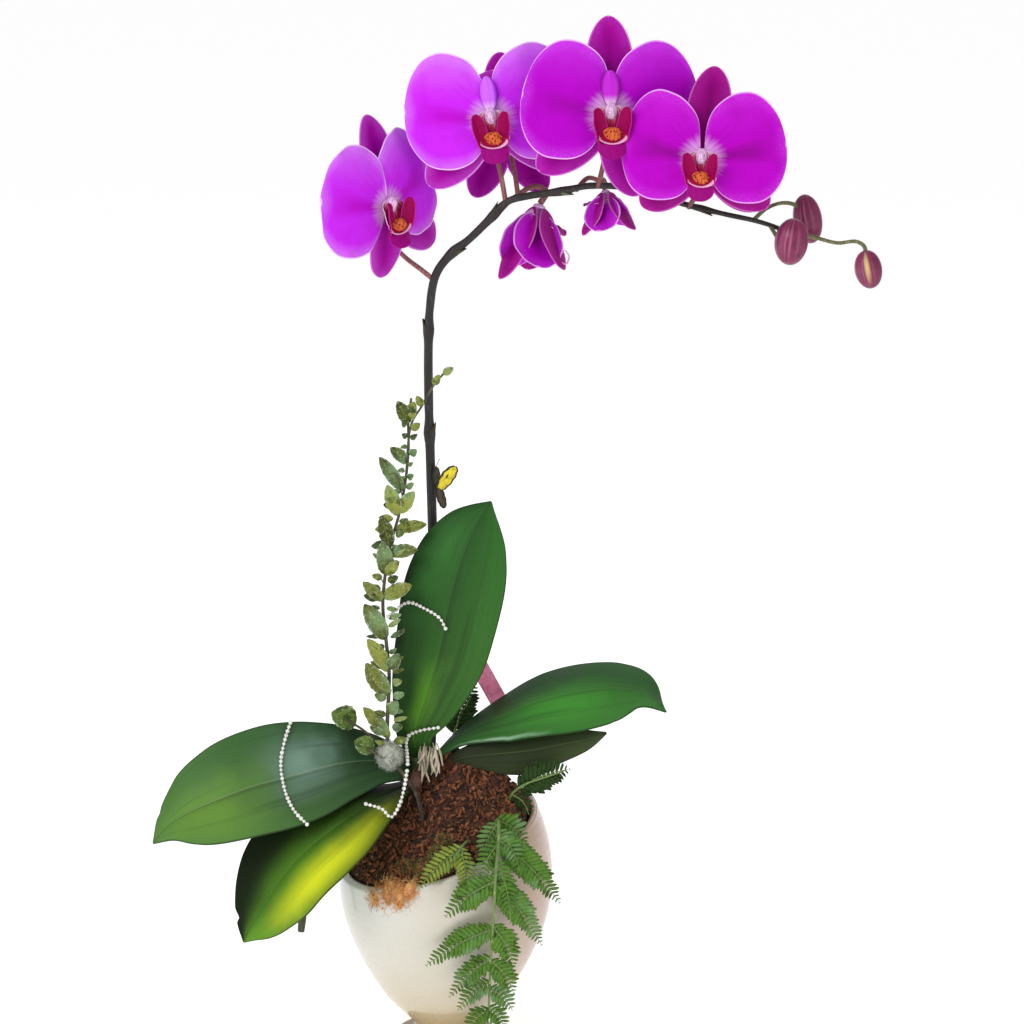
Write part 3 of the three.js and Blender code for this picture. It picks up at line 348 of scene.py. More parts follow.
    def ball(self, centre: Sequence[float], radii: Sequence[float], around: int, high: int,
             axis: Sequence[float] = (0, 0, 1), swell: Callable[[float, float], float] | None = None) -> None:
        """Adds an ellipsoid that can be given relief.

        Args:
            centre: its middle.
            radii: across, across and along its axis.
            around: points round it.
            high: stretches from pole to pole.
            axis: the way that its own Z points.
            swell: factor on the radius from the share of height and the turn.
        """
        matrix = blade_frame((0, 0, 0), np.cross(axis, (0.13, 1, 0.21)), axis)
        points, uvs = [], []
        for i in range(high + 1):
            rise = PI * i / high
            for j in range(around):
                turn = 2 * PI * j / around
                factor = swell(i / high, turn) if swell else 1
                ring = math.sin(rise) * factor
                points.append((radii[0] * ring * math.cos(turn), radii[1] * ring * math.sin(turn),
                               -radii[2] * math.cos(rise) * (1 + (factor - 1) * 0.3)))
                uvs.append((i / high, j / around))
        placed = moved(np.array(points), matrix) + np.asarray(centre, float)
        self.add(placed, grid_faces(high + 1, around, wrap=True), np.array(uvs))

    def make(self, name: str) -> Thing:
        """Makes the object.

        Args:
            name: the object's name.

        Returns:
            A smooth shaded object at the origin, with its doubles merged and its faces out.
        """
        mesh = bpy.data.meshes.new(name)
        mesh.from_pydata((np.concatenate(self.points) * MM).tolist(), [], self.faces)
        mesh.polygons.foreach_set("material_index", np.array(self.slots, np.int32))
        corners = np.zeros(len(mesh.loops), np.int32)
        mesh.loops.foreach_get("vertex_index", corners)
        layer = mesh.uv_layers.new(name=UV_NAME)
        layer.data.foreach_set("uv", np.concatenate(self.uvs)[corners].astype(np.float32).ravel())
        for attribute, values in ((EDGE_NAME, self.edges), (TONE_NAME, self.tones)):
            data = mesh.attributes.new(attribute, "FLOAT", "POINT")
            data.data.foreach_set("value", np.concatenate(values).astype(np.float32))
        shape = bmesh.new()
        shape.from_mesh(mesh)
        bmesh.ops.remove_doubles(shape, verts=shape.verts, dist=2e-6)
        bmesh.ops.dissolve_degenerate(shape, edges=shape.edges, dist=1e-7)
        bmesh.ops.recalc_face_normals(shape, faces=shape.faces)
        shape.to_mesh(mesh)
        shape.free()
        mesh.shade_smooth()
        return linked(name, mesh)


def joined(name: str, objects: Sequence[Thing]) -> Thing:
    """One object out of several, which are used up.

    Args:
        name: the new object's name.
        objects: what is joined, the first of which stays.

    Returns:
        The joined object.
    """
    first = objects[0]
    with bpy.context.temp_override(active_object=first, object=first, selected_objects=list(objects),
                                   selected_editable_objects=list(objects)):
        bpy.ops.object.join()
    first.name = first.data.name = name
    return first


def keep(piece: Thing, slot: str, node: str, *finishes: object) -> None:
    """Hands a finished piece to the frame.

    Args:
        piece: the finished object.
        slot: its material slot's name; not used.
        node: the solid that it stands for.
        finishes: the finishes of its slots, in order, where it hasn't got its materials yet.
    """
    paint(piece, *(finish.make() for finish in finishes))
    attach(piece, "root")
    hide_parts(node)


def paint(piece: Thing, *materials: Material) -> None:
    """Gives a new piece its materials, in slot order."""
    for material in materials:
        piece.data.materials.append(material)


# Node trees


class Value:
    """A number or colour that a tree works out, which takes the usual arithmetic signs."""

    def __init__(self, tree: "NodeTree", socket: Socket) -> None:
        """Holds an output socket of a tree."""
        self.tree, self.socket = tree, socket

    def __add__(self, other: object) -> "Value":
        """The sum."""
        return self.tree.math("ADD", self, other)

    def __sub__(self, other: object) -> "Value":
        """The difference."""
        return self.tree.math("SUBTRACT", self, other)

    def __mul__(self, other: object) -> "Value":
        """The product."""
        return self.tree.math("MULTIPLY", self, other)

    def __truediv__(self, other: object) -> "Value":
        """The quotient."""
        return self.tree.math("DIVIDE", self, other)

    def __abs__(self) -> "Value":
        """The value without its sign."""
        return self.tree.math("ABSOLUTE", self)

    __radd__, __rmul__ = __add__, __mul__


class NodeTree:
    """Adds nodes to a tree and feeds their sockets."""

    prefix = "ShaderNode"

    def __init__(self, tree: bpy.types.NodeTree) -> None:
        """Takes the tree."""
        self.tree = tree

    def add(self, kind: str, props: dict[str, object] | None = None, **links: object) -> bpy.types.Node:
        """Adds a node.

        Args:
            kind: the node type without this tree's prefix, or whole.
            props: node properties to set.
            links: input name, with underscores for spaces, to a socket or a value.

        Returns:
            The node.
        """
        whole = kind if kind.startswith(("FunctionNode", "ShaderNode")) else self.prefix + kind
        node = self.tree.nodes.new(whole)
        for key, value in (props or {}).items():
            setattr(node, key, value)
        for key, value in links.items():
            label = key.replace("_", " ")
            self.feed(next(s for s in node.inputs if s.name == label and s.enabled), value)
        return node

    def feed(self, socket: Socket, value: object) -> None:
        """Links a socket to another, or sets its value."""
        source = value.socket if isinstance(value, Value) else value
        if isinstance(source, Socket):
            self.tree.links.new(source, socket)
        else:
            socket.default_value = source

    def math(self, operation: str, *values: object) -> Value:
        """The result of an operation on numbers or values."""
        node = self.add("ShaderNodeMath", {"operation": operation})
        for socket, value in zip(node.inputs, values):
            self.feed(socket, value)
        return Value(self, node.outputs[0])


class NodeGraph(NodeTree):
    """A geometry tree with named inputs, built node by node."""

    prefix = "GeometryNode"

    def __init__(self, name: str, **inputs: float | int | str) -> None:
        """Makes the tree, its inputs and the material input that every tree has.

        Args:
            name: the tree's name.
            inputs: the default number or the kind of each input, by its name.
        """
        super().__init__(bpy.data.node_groups.new(name, "GeometryNodeTree"))
        face = self.tree.interface
        for way in ("INPUT", "OUTPUT"):
            face.new_socket(name="Geometry", in_out=way, socket_type="NodeSocketGeometry")
        self.keys: dict[str, str] = {}
        for label, value in {**inputs, "Material": "Material"}.items():
            kind = value if isinstance(value, str) else type(value).__name__.title()
            socket = face.new_socket(name=label, in_out="INPUT", socket_type="NodeSocket" + kind)
            if kind != value:
                socket.default_value = value
            self.keys[label] = socket.identifier
        self.given = self.tree.nodes.new("NodeGroupInput").outputs
        self.sink = self.tree.nodes.new("NodeGroupOutput")

    def random(self, low: object, high: object, seed: int) -> Value:
        """A random number or vector for each element, between two limits."""
        kind = "FLOAT_VECTOR" if isinstance(low, tuple) else "FLOAT"
        node = self.add("FunctionNodeRandomValue", {"data_type": kind}, Min=low, Max=high)
        node.inputs["Seed"].default_value = seed
        return Value(self, next(s for s in node.outputs if s.enabled))

    def named(self, name: str, kind: str = "FLOAT") -> Value:
        """What the host stores under a name."""
        return Value(self, self.add("InputNamedAttribute", {"data_type": kind}, Name=name).outputs[0])

    def copies(self, points: Socket, piece: Socket, rotation: Socket, scale: object, tone: object) -> Socket:
        """A piece copied to points.

        Args:
            points: where the copies stand.
            piece: the piece's object.
            rotation: how each is turned.
            scale: how large each is.
            tone: the shade that each is given.

        Returns:
            The copies, with their shades stored.
        """
        shape = self.add("ObjectInfo", Object=piece).outputs["Geometry"]
        copies = self.add("InstanceOnPoints", Points=points, Instance=shape, Rotation=rotation, Scale=scale)
        return self.add("StoreNamedAttribute", {"data_type": "FLOAT", "domain": "INSTANCE"},
                        Geometry=copies.outputs[0], Name=TONE_NAME, Value=tone).outputs[0]

    def turned(self, rotation: Socket, angles: object) -> Socket:
        """A rotation turned further about its own axes by three angles."""
        more = self.add("FunctionNodeEulerToRotation", Euler=angles).outputs[0]
        return self.add("FunctionNodeRotateRotation", {"rotation_space": "LOCAL"}, Rotation=rotation,
                        Rotate_By=more).outputs[0]

    def finish(self, *geometries: Socket) -> None:
        """Ends the tree: what it made is joined and made real, and takes the material input."""
        both = self.add("JoinGeometry")
        for geometry in geometries:
            self.tree.links.new(geometry, both.inputs[0])
        real = self.add("RealizeInstances", Geometry=both.outputs[0])
        smooth = self.add("SetShadeSmooth", Geometry=real.outputs[0])
        dressed = self.add("SetMaterial", Geometry=smooth.outputs[0], Material=self.given["Material"])
        self.tree.links.new(dressed.outputs[0], self.sink.inputs[0])

    def run(self, host: Thing, name: str, material: Material, **values: object) -> Thing:
        """Runs the tree on a host object and keeps the result as a plain mesh.

        Args:
            host: the object that the tree reads, which is used up.
            name: name of the result.
            material: the material that the result takes.
            values: the other inputs' values by name.

        Returns:
            A plain mesh object at the origin.
        """
        modifier = host.modifiers.new("tree", "NODES")
        modifier.node_group = self.tree
        for label, value in {**values, "Material": material}.items():
            modifier[self.keys[label]] = value
        bpy.context.view_layer.update()
        shown = host.evaluated_get(bpy.context.evaluated_depsgraph_get())
        mesh = bpy.data.meshes.new_from_object(shown)
        mesh.name = name
        host.modifiers.remove(modifier)
        bpy.data.objects.remove(host)
        return linked(name, mesh)


def line_host(paths: Sequence[tuple[SmoothPath, Sequence[float], int]]) -> Thing:
    """Edges along paths, with the girth at each point as an attribute, for a tree to read.

    Args:
        paths: each path with its radii at even stations and its number of stretches.

    Returns:
        An object with edges only.
    """
    points, edges, girths = [], [], []
    for path, radii, steps in paths:
        start = len(points)
        u = np.linspace(0, 1, steps + 1)
        points += (path.at(u) * MM).tolist()
        girths += (stations(radii, u) * MM).tolist()
        edges += [(start + i, start + i + 1) for i in range(steps)]
    mesh = bpy.data.meshes.new("lines")
    mesh.from_pydata(points, edges, [])
    girth = mesh.attributes.new(GIRTH_NAME, "FLOAT", "POINT")
    girth.data.foreach_set("value", np.array(girths, np.float32))
    return linked("lines", mesh)


@cache
def stem_graph() -> NodeGraph:
    """A tree that turns edges into round stems of their own girth."""
    graph = NodeGraph("stems", Sides=12)
    curve = graph.add("MeshToCurve", Mesh=graph.given["Geometry"]).outputs[0]
    circle = graph.add("CurvePrimitiveCircle", Resolution=graph.given["Sides"], Radius=1.0).outputs[0]
    skin = graph.add("CurveToMesh", Curve=curve, Profile_Curve=circle, Scale=graph.named(GIRTH_NAME),
                     Fill_Caps=True)
    graph.finish(skin.outputs[0])
    return graph


@cache
def bead_graph() -> NodeGraph:
    """A tree that strings round beads on a wire at an even pitch."""
    graph = NodeGraph("beads", Pitch=0.003, Bead=0.0012, Wire=0.0003)
    curve = graph.add("MeshToCurve", Mesh=graph.given["Geometry"]).outputs[0]
    dots = graph.add("CurveToPoints", {"mode": "LENGTH"}, Curve=curve, Length=graph.given["Pitch"])
    ball = graph.add("MeshIcoSphere", Radius=graph.given["Bead"], Subdivisions=2)
    beads = graph.add("InstanceOnPoints", Points=dots.outputs["Points"], Instance=ball.outputs["Mesh"],
                      Scale=graph.random(0.8, 1.12, 3))
    circle = graph.add("CurvePrimitiveCircle", Resolution=6, Radius=graph.given["Wire"]).outputs[0]
    wire = graph.add("CurveToMesh", Curve=curve, Profile_Curve=circle, Fill_Caps=True)
    graph.finish(beads.outputs[0], wire.outputs[0])
    return graph


@cache
def scatter_graph() -> NodeGraph:
    """A tree that scatters a small piece over a surface, leaning away from its normal."""
    graph = NodeGraph("scatter", Piece="Object", Density=1000.0, Lean=1.0, Small=0.6, Large=1.3, Seed=1)
    given = graph.given
    dots = graph.add("DistributePointsOnFaces", Mesh=given["Geometry"], Density=given["Density"],
                     Seed=given["Seed"]).outputs
    lean = graph.add("ShaderNodeVectorMath", {"operation": "MULTIPLY"})
    graph.feed(lean.inputs[0], graph.random((-1, -1, -PI), (1, 1, PI), 11))
    weights = graph.add("ShaderNodeCombineXYZ", X=given["Lean"], Y=given["Lean"], Z=1.0)
    graph.feed(lean.inputs[1], weights.outputs[0])
    rotation = graph.turned(dots["Rotation"], lean.outputs[0])
    size = graph.random(given["Small"], given["Large"], 0)
    graph.finish(graph.copies(dots["Points"], given["Piece"], rotation, size, graph.random(0, 1, 5)))
    return graph


@cache
def pinnule_graph() -> NodeGraph:
    """A tree that sets toothed leaflets along midribs, on both sides, smaller to the tip."""
    graph = NodeGraph("pinnules", Piece="Object", Pitch=0.0024, Size=1.0, Splay=0.95)
    given = graph.given
    curve = graph.add("MeshToCurve", Mesh=given["Geometry"])
    even = graph.add("ResampleCurve", {"mode": "LENGTH"}, Curve=curve.outputs[0], Length=given["Pitch"])
    share = graph.add("SplineParameter").outputs["Factor"]
    profile = graph.add("ShaderNodeFloatCurve", Value=share)
    points = profile.mapping.curves[0].points
    points[0].location, points[1].location = (0.0, 0.72), (1.0, 0.12)
    points.new(0.25, 1.0)
    points.new(0.7, 0.62)
    profile.mapping.update()
    wide = Value(graph, profile.outputs[0]) * graph.named(GIRTH_NAME)
    sized = wide * graph.random(0.86, 1.14, 4) * given["Size"]
    up = graph.add("FunctionNodeAlignRotationToVector", {"axis": "Z"},
                   Vector=graph.named("facing", "FLOAT_VECTOR"))
    lined = graph.add("FunctionNodeAlignRotationToVector", {"axis": "X", "pivot_axis": "Z"},
                      Rotation=up.outputs[0], Vector=graph.add("InputTangent").outputs[0])
    rows = []
    for side in (1, -1):
        droop = graph.add("ShaderNodeCombineXYZ", X=0.18 * side, Z=Value(graph, given["Splay"]) * side)
        rotation = graph.turned(lined.outputs[0], droop.outputs[0])
        rows.append(graph.copies(even.outputs[0], given["Piece"], rotation, sized, share))
    graph.finish(*rows)
    return graph


# Finishes


class Shader(NodeTree):
    """A material's tree, built node by node round its principled shader."""

    def __init__(self, name: str) -> None:
        """Makes the material."""
        self.material = bpy.data.materials.new(name)
        self.material.use_nodes = True
        super().__init__(self.material.node_tree)
        self.skin = next(n for n in self.tree.nodes if n.type == "BSDF_PRINCIPLED")
        self.place = self.add("TexCoord").outputs["Object"]

    def between(self, value: object, low: float, high: float) -> Value:
        """A smooth share of where a value lies between two limits, either way round."""
        node = self.add("MapRange", {"interpolation_type": "SMOOTHSTEP"}, Value=value)
        ends = (1.0, 0.0) if low > high else (0.0, 1.0)
        for label, number in zip(("From Min", "From Max", "To Min", "To Max"), (*sorted((low, high)), *ends)):
            node.inputs[label].default_value = number
        return Value(self, node.outputs[0])

    def bell(self, value: Value, centre: float, width: float) -> Value:
        """A hump of height 1 at the centre that falls to 0 at the width from it."""
        return self.between(abs(value - centre), width, 0.0)

    def mix(self, share: object, first: object, second: object, blend: str = "MIX") -> Value:
        """A colour between two, or the second laid over the first."""
        node = self.add("Mix", {"data_type": "RGBA", "blend_type": blend})
        for socket, value in zip([s for s in node.inputs if s.enabled], (share, first, second)):
            self.feed(socket, value)
        return Value(self, next(s for s in node.outputs if s.enabled))

    def attribute(self, name: str) -> Value:
        """The number that the mesh stores under a name."""
        return Value(self, self.add("Attribute", {"attribute_name": name}).outputs["Fac"])

    def parts(self, vector: Socket) -> list[Value]:
        """The three numbers of a vector."""
        return [Value(self, socket) for socket in self.add("SeparateXYZ", Vector=vector).outputs]

    def pattern(self) -> list[Value]:
        """The two pattern coordinates of the mesh."""
        return self.parts(self.add("UVMap", {"uv_map": UV_NAME}).outputs[0])[:2]

    def noise(self, millimetres: float, detail: float = 3.0, rough: float = 0.55,
              stretch: Triple = (1, 1, 1), vector: object | None = None) -> Value:
        """Cloudy noise with features of a size, on the object's own coordinates.

        Args:
            millimetres: size of the features.
            detail: how many finer layers it has.
            rough: how strong the finer layers are.
            stretch: factors on the coordinates.
            vector: other coordinates to use.

        Returns:
            The noise, about 0 to 1.
        """
        where = self.place if vector is None else vector
        if stretch != (1, 1, 1):
            where = self.add("Mapping", Vector=where, Scale=stretch).outputs[0]
        node = self.add("TexNoise", Vector=where, Scale=1000 / millimetres, Detail=detail, Roughness=rough)
        return Value(self, node.outputs[0])

    def streaks(self, x: Value, y: Value, detail: float, rough: float) -> Value:
        """Noise over two numbers, for lines that run one way."""
        return self.noise(1000.0, detail, rough, vector=self.add("CombineXYZ", X=x, Y=y, Z=0.0).outputs[0])

    def cells(self, millimetres: float) -> Value:
        """Distance from the middle of cells of a size."""
        node = self.add("TexVoronoi", Vector=self.place, Scale=1000 / millimetres)
        return Value(self, node.outputs["Distance"])

    def done(self, colour: object, rough: object, height: Value | None = None, depth: float = 0.3,
             **values: object) -> Material:
        """Feeds the shader and returns the material.

        Args:
            colour: socket or colour.
            rough: socket or number for the roughness.
            height: what raises the surface.
            depth: how much it raises it, in millimetres.
            values: other inputs of the shader, with underscores for spaces.

        Returns:
            The finished material.
        """
        for key, value in {"Base_Color": colour, "Roughness": rough, **values}.items():
            self.feed(self.skin.inputs[key.replace("_", " ")], value)
        if height is not None:
            bump = self.add("Bump", Height=height, Strength=0.8, Distance=depth * MM)
            self.tree.links.new(bump.outputs[0], self.skin.inputs["Normal"])
        return self.material


@dataclass(frozen=True)
class GlazeFinish:
    """Cream glaze with a painted cool highlight on the upper left, painted pinkish shade on the right and
    painted tan shade and warm reflection towards the foot.
    """

    cream: Colour = srgb(206, 200, 184)
    # Painted highlight: cool white on the upper left, where the key light falls.
    cool: Colour = srgb(222, 227, 230)
    # Painted shade: pinker on the right side, away from the key light.
    pink: Colour = srgb(176, 142, 120)
    # Tan: painted shade and warm reflection towards the foot, and also random mottling.
    tan: Colour = srgb(190, 168, 124)
    gold: Colour = srgb(143, 112, 58)

    def make(self) -> Material:
        """The pot's glaze."""
        s = Shader("pearl_glaze")
        x, _, z = s.parts(s.place)
        cloud = s.noise(38, 4)
        lean = x + (cloud - 0.5) * 0.03
        # Painted shade and warm reflection: tan towards the foot.
        body = s.mix(s.between(z, 0.075, 0.0), self.cream, self.tan)
        # Painted highlight: cool white on the upper left of the pot, above the foot.
        body = s.mix(s.between(lean, 0.0, -0.06) * s.between(z, 0.05, 0.15), body, self.cool)
        # Painted shade: pinker towards the right side, away from the key light.
        body = s.mix(s.between(lean, 0.015, 0.062) * 0.9, body, self.pink)
        body = s.mix(s.between(cloud, 0.45, 0.75) * 0.16, body, self.tan)
        body = s.mix(s.between(z + cloud * 0.004, 0.016, 0.007), body, self.gold)
        specks = s.between(s.noise(1.6, 2), 0.70, 0.78)
        body = s.mix(specks * 0.22, body, self.gold)
        wave = s.add("TexWave", {"wave_type": "BANDS", "bands_direction": "Z"}, Vector=s.place, Scale=55.0,
                     Distortion=1.2, Detail=2.0)
        rings = Value(s, wave.outputs["Fac"])
        height = rings * 0.35 + s.noise(11, 3)
        rough = 0.2 + cloud * 0.16
        return s.done(body, rough, height, 0.22, Coat_Weight=0.5, Coat_Roughness=0.12)


@dataclass(frozen=True)
class CrumbFinish:
    """Bark crumbs and coir, from dark to light by clumps and by each strand's own shade."""

    name: str
    dark: Colour
    middle: Colour
    light: Colour
    grain: float = 2.2
    relief: float = 0.7

    def make(self) -> Material:
        """The crumb material."""
        s = Shader(self.name)
        clump = s.noise(self.grain * 3.2, 4, 0.7)
        strand = s.noise(self.grain, 4, 0.7, (1, 1, 0.35))
        shade = s.attribute(TONE_NAME)
        body = s.mix(s.between(clump, 0.36, 0.62), self.dark, self.middle)
        lit = s.between(strand, 0.45, 0.7) * s.between(shade, 0.1, 1.0)
        body = s.mix(lit, body, self.light)
        height = strand + s.cells(self.grain)
        return s.done(body, 0.72 + clump * 0.25, height, self.relief)


@dataclass(frozen=True)
class LeafFinish:
    """Leathery leaf: corner colours, soft patches that include painted sheen and shade, painted shade on one
    half of the midrib fold and in lengthwise pleats, long veins and a dark rim.
    """

    name: str
    back_base: Colour
    front_base: Colour
    back_tip: Colour
    front_tip: Colour
    midrib: Colour
    rim: Colour
    patches: tuple[tuple[Colour, float, float, float, float, float], ...] = ()
    cloud: float = 0.6
    # Painted shade on one half of the midrib fold; its sign picks the half.
    crease: float = 0.25
    rib: float = 0.3
    shine: float = 0.2
    # Painted shade in the lengthwise pleats.
    pleat: float = 0.3
    gloss: float = 0.45

    def make(self) -> Material:
        """The leaf's material."""
        s = Shader(self.name)
        u, v = s.pattern()
        blotch = s.noise(20, 3, 0.5)
        drift = (blotch - 0.5) * (0.3 * self.cloud)
        along, over = (u + drift, v + drift)
        base = s.mix(s.between(over, 0.15, 0.85), self.back_base, self.front_base)
        tip = s.mix(s.between(over, 0.15, 0.85), self.back_tip, self.front_tip)
        body = s.mix(s.between(along, 0.2, 0.9), base, tip)
        # Patches: some are the leaf's own colour, some painted sheen, painted highlights and painted shade;
        # each leaf lists them.
        for colour, at, span, across, width, share in self.patches:
            here = s.bell(along, at, span) * s.bell(over, across, width)
            body = s.mix(here * share, body, colour)
        # Painted shade: one half of the midrib fold is darkened with the rim colour; the sign of the fold
        # shade picks the back or the front half.
        half = s.between(v, 0.485, 0.515) if self.crease > 0 else s.between(v, 0.515, 0.485)
        near = s.bell(v, 0.5, 0.5)
        body = s.mix(half * near * abs(self.crease), body, self.rim)
        lines = s.streaks(u * 1.4, v * 46.0, 3, 0.6)
        pleats = s.streaks(u * 1.1, v * 11.0, 2, 0.5)
        # Painted shade: dark streaks in the lengthwise pleats; the same noise also shapes their bump.
        body = s.mix(s.between(pleats, 0.5, 0.68) * self.pleat, body, self.rim)
        body = s.mix(s.between(lines, 0.4, 0.66) * 0.3, body, self.midrib, "SOFT_LIGHT")
        flecks = s.between(s.noise(2.4, 3), 0.62, 0.74)
        body = s.mix(flecks * 0.12, body, self.rim)
        body = s.mix(s.bell(v, 0.5, 0.016) * self.rib, body, self.midrib)
        edge = s.between(s.attribute(EDGE_NAME), 1.3, 0.2)
        body = s.mix(edge * 0.7, body, self.rim)
        height = lines * 0.6 + s.noise(3, 3) * 0.5
        height = height - s.bell(v, 0.5, 0.03) * 0.9
        height = height - pleats * 0.8
        rough = self.gloss + blotch * 0.16
        return s.done(body, rough, height, 0.3, Specular_IOR_Level=self.shine)


@dataclass(frozen=True)
class PetalFinish:
    """Petal or sepal: bright body, deep midline and fan veins, pale root, lilac margin and thin pale rim."""

    name: str
    body: Colour
    deep: Colour
    pale: Colour
    rim: Colour
    root: Colour
    band: float = 0.8
    veins: float = 0.4
    margin: float = 0.55
    root_reach: float = 0.2
    rim_width: float = 1.2

    def make(self) -> Material:
        """The petal's material."""
        s = Shader(self.name)
        u, v = s.pattern()
        away = (v - 0.5) * 1.4
        reach = s.math("SQRT", u * u + away * away)
        fan = s.math("ARCTAN2", away, u + 0.03)
        edge = s.attribute(EDGE_NAME)
        cloud = s.noise(9, 3)
        lines = s.streaks(fan * 9.0, reach * 1.6, 3, 0.6)
        body = s.mix(s.between(edge, 11.0, 0.5) * self.margin, self.body, self.pale)
        body = s.mix(s.between(v, 0.6, 1.0) * (self.margin * 0.8), body, self.pale)
        body = s.mix(s.between(cloud, 0.4, 0.75) * 0.2, body, self.deep)
        wide = abs(fan) + (lines - 0.5) * 0.3
        middle = s.between(wide, 0.3, 0.02) * s.between(reach, 1.0, 0.55)
        body = s.mix(middle * self.band, body, self.deep)
        veins = s.between(lines, 0.5, 0.68) * s.between(reach, 1.0, 0.3)
        body = s.mix(veins * self.veins, body, self.deep)
        near = reach + (lines - 0.5) * 0.22
        body = s.mix(s.between(near, self.root_reach, self.root_reach * 0.3) * 0.85, body, self.root)
        grain = s.between(s.noise(0.9, 2), 0.5, 0.75) * s.between(edge, 9.0, 1.0)
        body = s.mix(grain * 0.14, body, self.rim)
        body = s.mix(s.between(edge, self.rim_width, self.rim_width * 0.5) * 0.85, body, self.rim)
        height = lines * 0.8 + s.noise(1.1, 2) * 0.35
        rough = 0.48 + cloud * 0.2
        return s.done(body, rough, height, 0.22, Specular_IOR_Level=0.06, Subsurface_Weight=0.12,
                      Subsurface_Scale=0.002, Subsurface_Radius=(1.0, 0.35, 1.0))


@dataclass(frozen=True)
class LobeFinish:
    """Lip lobe: deep colour with a pale rim, stripes along it and specks."""

    name: str
    body: Colour
    deep: Colour
    rim: Colour
    specks: float = 0.4
    rim_width: float = 0.9
    veins: float = 0.5
    foot: Colour | None = None
    grain: float = 1.4

    def make(self) -> Material:
        """The lobe's material."""
        s = Shader(self.name)
        u, v = s.pattern()
        lines = s.streaks(u * 2.0, v * 30.0, 2, 0.5)
        body = s.mix(s.between(lines, 0.46, 0.6) * self.veins, self.body, self.deep)
        if self.foot:
            lean = u + (lines - 0.5) * 0.5
            wide = abs(v - 0.5) * 0.5
            body = s.mix(s.between(lean + wide, 0.22, 0.52), body, self.foot)
        spots = s.between(s.cells(self.grain), 0.4, 0.22)
        body = s.mix(spots * self.specks, body, self.deep)
        body = s.mix(s.between(s.attribute(EDGE_NAME), self.rim_width, self.rim_width * 0.3), body, self.rim)
        height = lines + s.noise(0.9, 2)
        rough = 0.4 + s.noise(3, 2) * 0.25
        return s.done(body, rough, height, 0.25, Specular_IOR_Level=0.08)


@dataclass(frozen=True)
class HoodFinish:
    """Column hood: pale pink with violet stripes and a violet lip."""

    name: str = "column_hood"
    body: Colour = srgb(240, 204, 240)
    stripe: Colour = srgb(176, 30, 160)
    crest: bool = False

    def make(self) -> Material:
        """The hood's material."""
        s = Shader(self.name)
        rise, turn = s.pattern()
        waves = s.math("SINE", turn * 56.0)
        stripes = s.between(waves, 0.3, 0.9) * s.between(rise, 0.2, 0.75)
        body = s.mix(stripes * 0.55, self.body, self.stripe)
        body = s.mix(s.between(s.noise(2.2, 3), 0.52, 0.8), body, self.stripe)
        if self.crest:
            body = s.mix(s.between(rise, 0.42, 0.15), self.body, srgb(248, 220, 246))
            side = s.between(abs(turn - 0.25), 0.11, 0.2)
            body = s.mix(side * 0.9, body, self.stripe)
        rough = 0.3 + s.noise(4, 2) * 0.2
        return s.done(body, rough, waves + s.noise(1.2, 2), 0.12, Specular_IOR_Level=0.3)


@dataclass(frozen=True)
class BudFinish:
    """Closed bud: plum, with painted silvery highlight streaks on the lit side and a green-brown foot."""

    name: str = "bud_skin"
    body: Colour = srgb(128, 30, 78)
    deep: Colour = srgb(70, 8, 38)
    # Colour of the painted highlight streaks on the lit side.
    streak: Colour = srgb(182, 104, 140)
    seam: Colour | None = None

    def make(self) -> Material:
        """The bud's material."""
        s = Shader(self.name)
        rise, turn = s.pattern()
        cloud = s.noise(5, 3)
        body = s.mix(s.between(cloud, 0.3, 1.0), self.body, self.deep)
        lines = s.streaks(rise * 0.12, turn * 20.0, 1, 0.4)
        # Painted highlight: silvery streaks on the lit side only.
        lit_side_highlight = s.between(lines, 0.42, 0.62) * s.bell(rise, 0.55, 0.5)
        lit_side_highlight = lit_side_highlight * s.bell(turn, 0.2, 0.2)
        body = s.mix(lit_side_highlight * 0.7, body, self.streak)
        if self.seam:
            body = s.mix(s.bell(turn, 0.25, 0.05) * s.bell(rise, 0.6, 0.42), body, self.seam)
        body = s.mix(s.between(rise, 0.16, 0.0), body, self.deep)
        rough = 0.26 + cloud * 0.22
        return s.done(body, rough, lines, 0.3, Specular_IOR_Level=0.4)


@dataclass(frozen=True)
class StemFinish:
    """Woody stem with fine lengthwise grain, which can turn to a second colour with height."""

    name: str
    body: Colour
    light: Colour
    deep: Colour
    upper: Colour | None = None
    turn_at: tuple[float, float] = (0.5, 0.6)
    grain: float = 1.6

    def make(self) -> Material:
        """The stem's material."""
        s = Shader(self.name)
        fibre = s.noise(self.grain, 4, 0.6, (1, 1, 0.14))
        patch = s.noise(self.grain * 6, 3)
        body = self.body
        if self.upper:
            z = s.parts(s.place)[2]
            body = s.mix(s.between(z, *self.turn_at), self.body, self.upper)
        body = s.mix(s.between(fibre, 0.5, 0.72) * 0.7, body, self.light)
        body = s.mix(s.between(patch, 0.5, 0.7) * 0.55, body, self.deep)
        rough = 0.4 + patch * 0.35
        return s.done(body, rough, fibre + s.noise(0.8, 2), 0.3)


